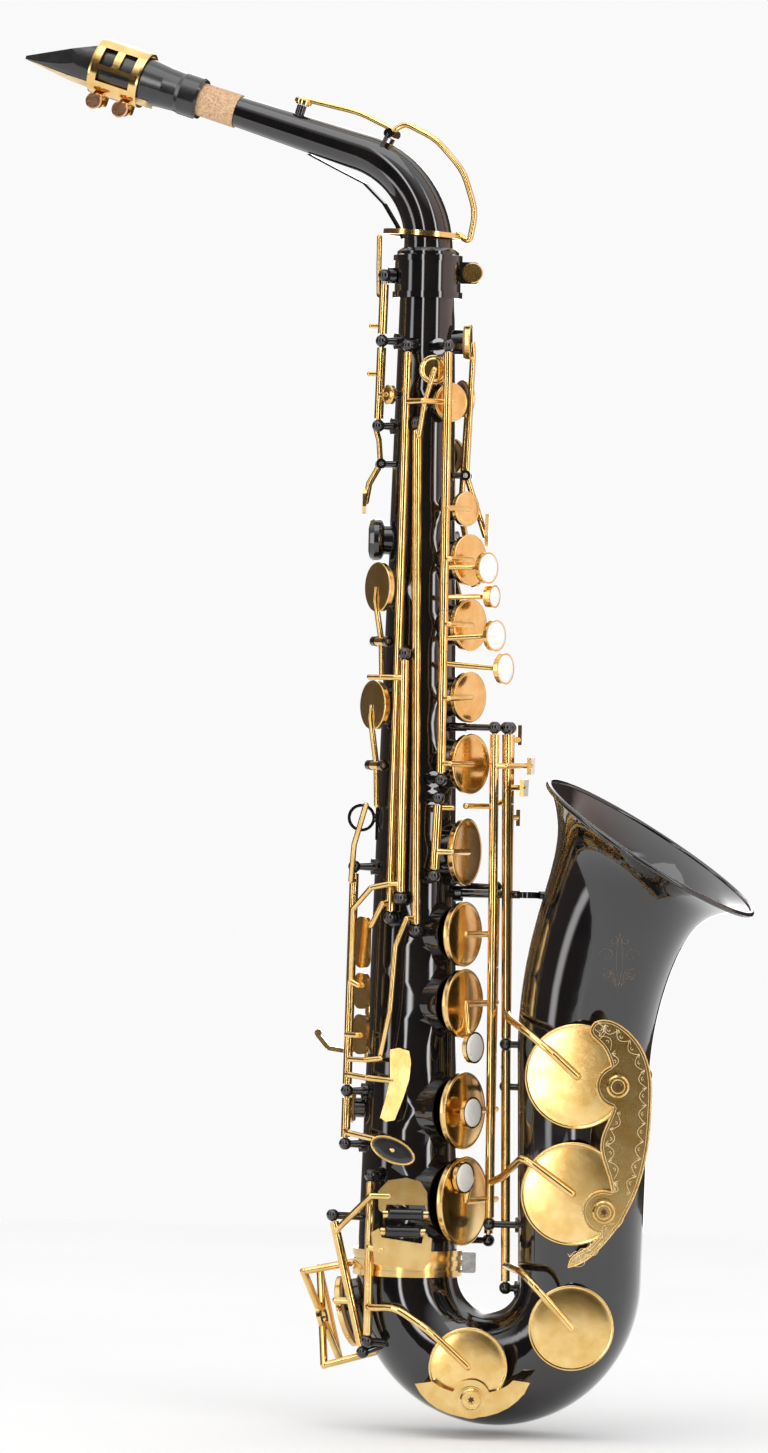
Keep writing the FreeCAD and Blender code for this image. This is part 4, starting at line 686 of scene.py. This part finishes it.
def make_world():
    """A plain pale studio. Mirrored rays see soft boxes and dark flags in it instead."""
    world = bpy.data.worlds.new("studio")
    bpy.context.scene.world = world
    world.use_nodes = True
    tree = world.node_tree
    tree.nodes.clear()
    coords = add_node(tree, "ShaderNodeTexCoord")
    split = add_node(tree, "ShaderNodeSeparateXYZ")
    tree.links.new(coords.outputs["Generated"], split.inputs[0])
    turn = add_node(tree, "ShaderNodeMath", operation="ARCTAN2")
    tree.links.new(split.outputs["Y"], turn.inputs[0])
    tree.links.new(split.outputs["X"], turn.inputs[1])
    part = add_node(tree, "ShaderNodeMapRange")
    part.inputs["From Min"].default_value = -math.pi
    part.inputs["From Max"].default_value = math.pi
    tree.links.new(turn.outputs[0], part.inputs["Value"])
    # Places are turns from -X through -Y, +X and +Y; the front of the horn is near 0.29.
    dark, shade, brown = (0.03, 0.024, 0.018), (0.10, 0.08, 0.07), (1.05, 0.82, 0.76)
    box, slim = (3.4, 3.3, 3.3), (7.0, 6.8, 6.8)
    stops = [(0.0, shade), (0.09, shade), (0.105, box), (0.122, box), (0.135, dark), (0.232, dark), (0.239, slim),
             (0.247, slim), (0.256, (0.10, 0.085, 0.06)), (0.31, (0.07, 0.058, 0.04)), (0.395, dark),
             (0.403, slim), (0.414, slim), (0.424, shade), (0.450, brown), (0.62, brown), (0.65, shade),
             (0.75, dark), (0.79, box), (0.81, shade), (1.0, shade)]
    around = ramp(tree, part.outputs["Result"], stops)
    height = add_node(tree, "ShaderNodeMapRange")
    height.inputs["From Min"].default_value = 0.42
    height.inputs["From Max"].default_value = 0.80
    tree.links.new(split.outputs["Z"], height.inputs["Value"])
    ceiling = add_node(tree, "ShaderNodeMix", data_type="RGBA")
    tree.links.new(height.outputs["Result"], ceiling.inputs["Factor"])
    tree.links.new(around, [i for i in ceiling.inputs if i.name == "A" and i.type == "RGBA"][0])
    [i for i in ceiling.inputs if i.name == "B" and i.type == "RGBA"][0].default_value = (1.25, 1.25, 1.25, 1)
    studio = add_node(tree, "ShaderNodeBackground")
    tree.links.new([o for o in ceiling.outputs if o.type == "RGBA"][0], studio.inputs["Color"])
    plain = add_node(tree, "ShaderNodeBackground")
    plain.inputs["Color"].default_value = (0.95, 0.95, 0.95, 1)
    seen = add_node(tree, "ShaderNodeLightPath")
    both = add_node(tree, "ShaderNodeMixShader")
    tree.links.new(seen.outputs["Is Glossy Ray"], both.inputs[0])
    tree.links.new(plain.outputs[0], both.inputs[1])
    tree.links.new(studio.outputs[0], both.inputs[2])
    tree.links.new(both.outputs[0], add_node(tree, "ShaderNodeOutputWorld").inputs[0])


def area_light(name, place, target, size, power, mirrored=True):
    data = bpy.data.lights.new(name, "AREA")
    data.shape = "RECTANGLE"
    data.size, data.size_y = size
    data.energy = power
    obj = bpy.data.objects.new(name, data)
    obj.location = place
    obj.rotation_euler = (Vector(target) - Vector(place)).to_track_quat("-Z", "Y").to_euler()
    obj.visible_glossy = mirrored
    bpy.context.scene.collection.objects.link(obj)


FRAME_HEIGHT = 0.7265         # metres of the object's plane that the frame is tall
CAMERA_FAR = 4.0
LEAN = math.radians(1.19)     # the tube leans a little to the right
AIM = ACROSS * 0.0103 + OUT * 0.015 + UP * 0.0459


def make_camera():
    data = bpy.data.cameras.new("camera")
    data.sensor_fit = "VERTICAL"
    data.sensor_height = 24.0
    data.lens = data.sensor_height * CAMERA_FAR / FRAME_HEIGHT
    data.clip_end = 60.0
    obj = bpy.data.objects.new("camera", data)
    bpy.context.scene.collection.objects.link(obj)
    back = OUT.normalized()
    up = (UP * math.cos(LEAN) - ACROSS * math.sin(LEAN)).normalized()
    right = up.cross(back)
    turn = Matrix((right, up, back)).transposed().to_4x4()
    obj.matrix_world = Matrix.Translation(AIM + OUT * CAMERA_FAR) @ turn
    bpy.context.scene.camera = obj


make_floor()
make_world()
area_light("top_light", AIM + UP * 2.2 + OUT * 0.8, AIM, (1.5, 1.5), 9)
area_light("left_fill", AIM - ACROSS * 1.6 + OUT * 2.4 + UP * 0.5, AIM, (1.6, 1.6), 13, False)
area_light("right_fill", AIM + ACROSS * 1.8 + OUT * 2.2 + UP * 0.4, AIM, (1.6, 1.6), 15, False)
make_camera()
bpy.context.scene.view_settings.view_transform = "Standard"
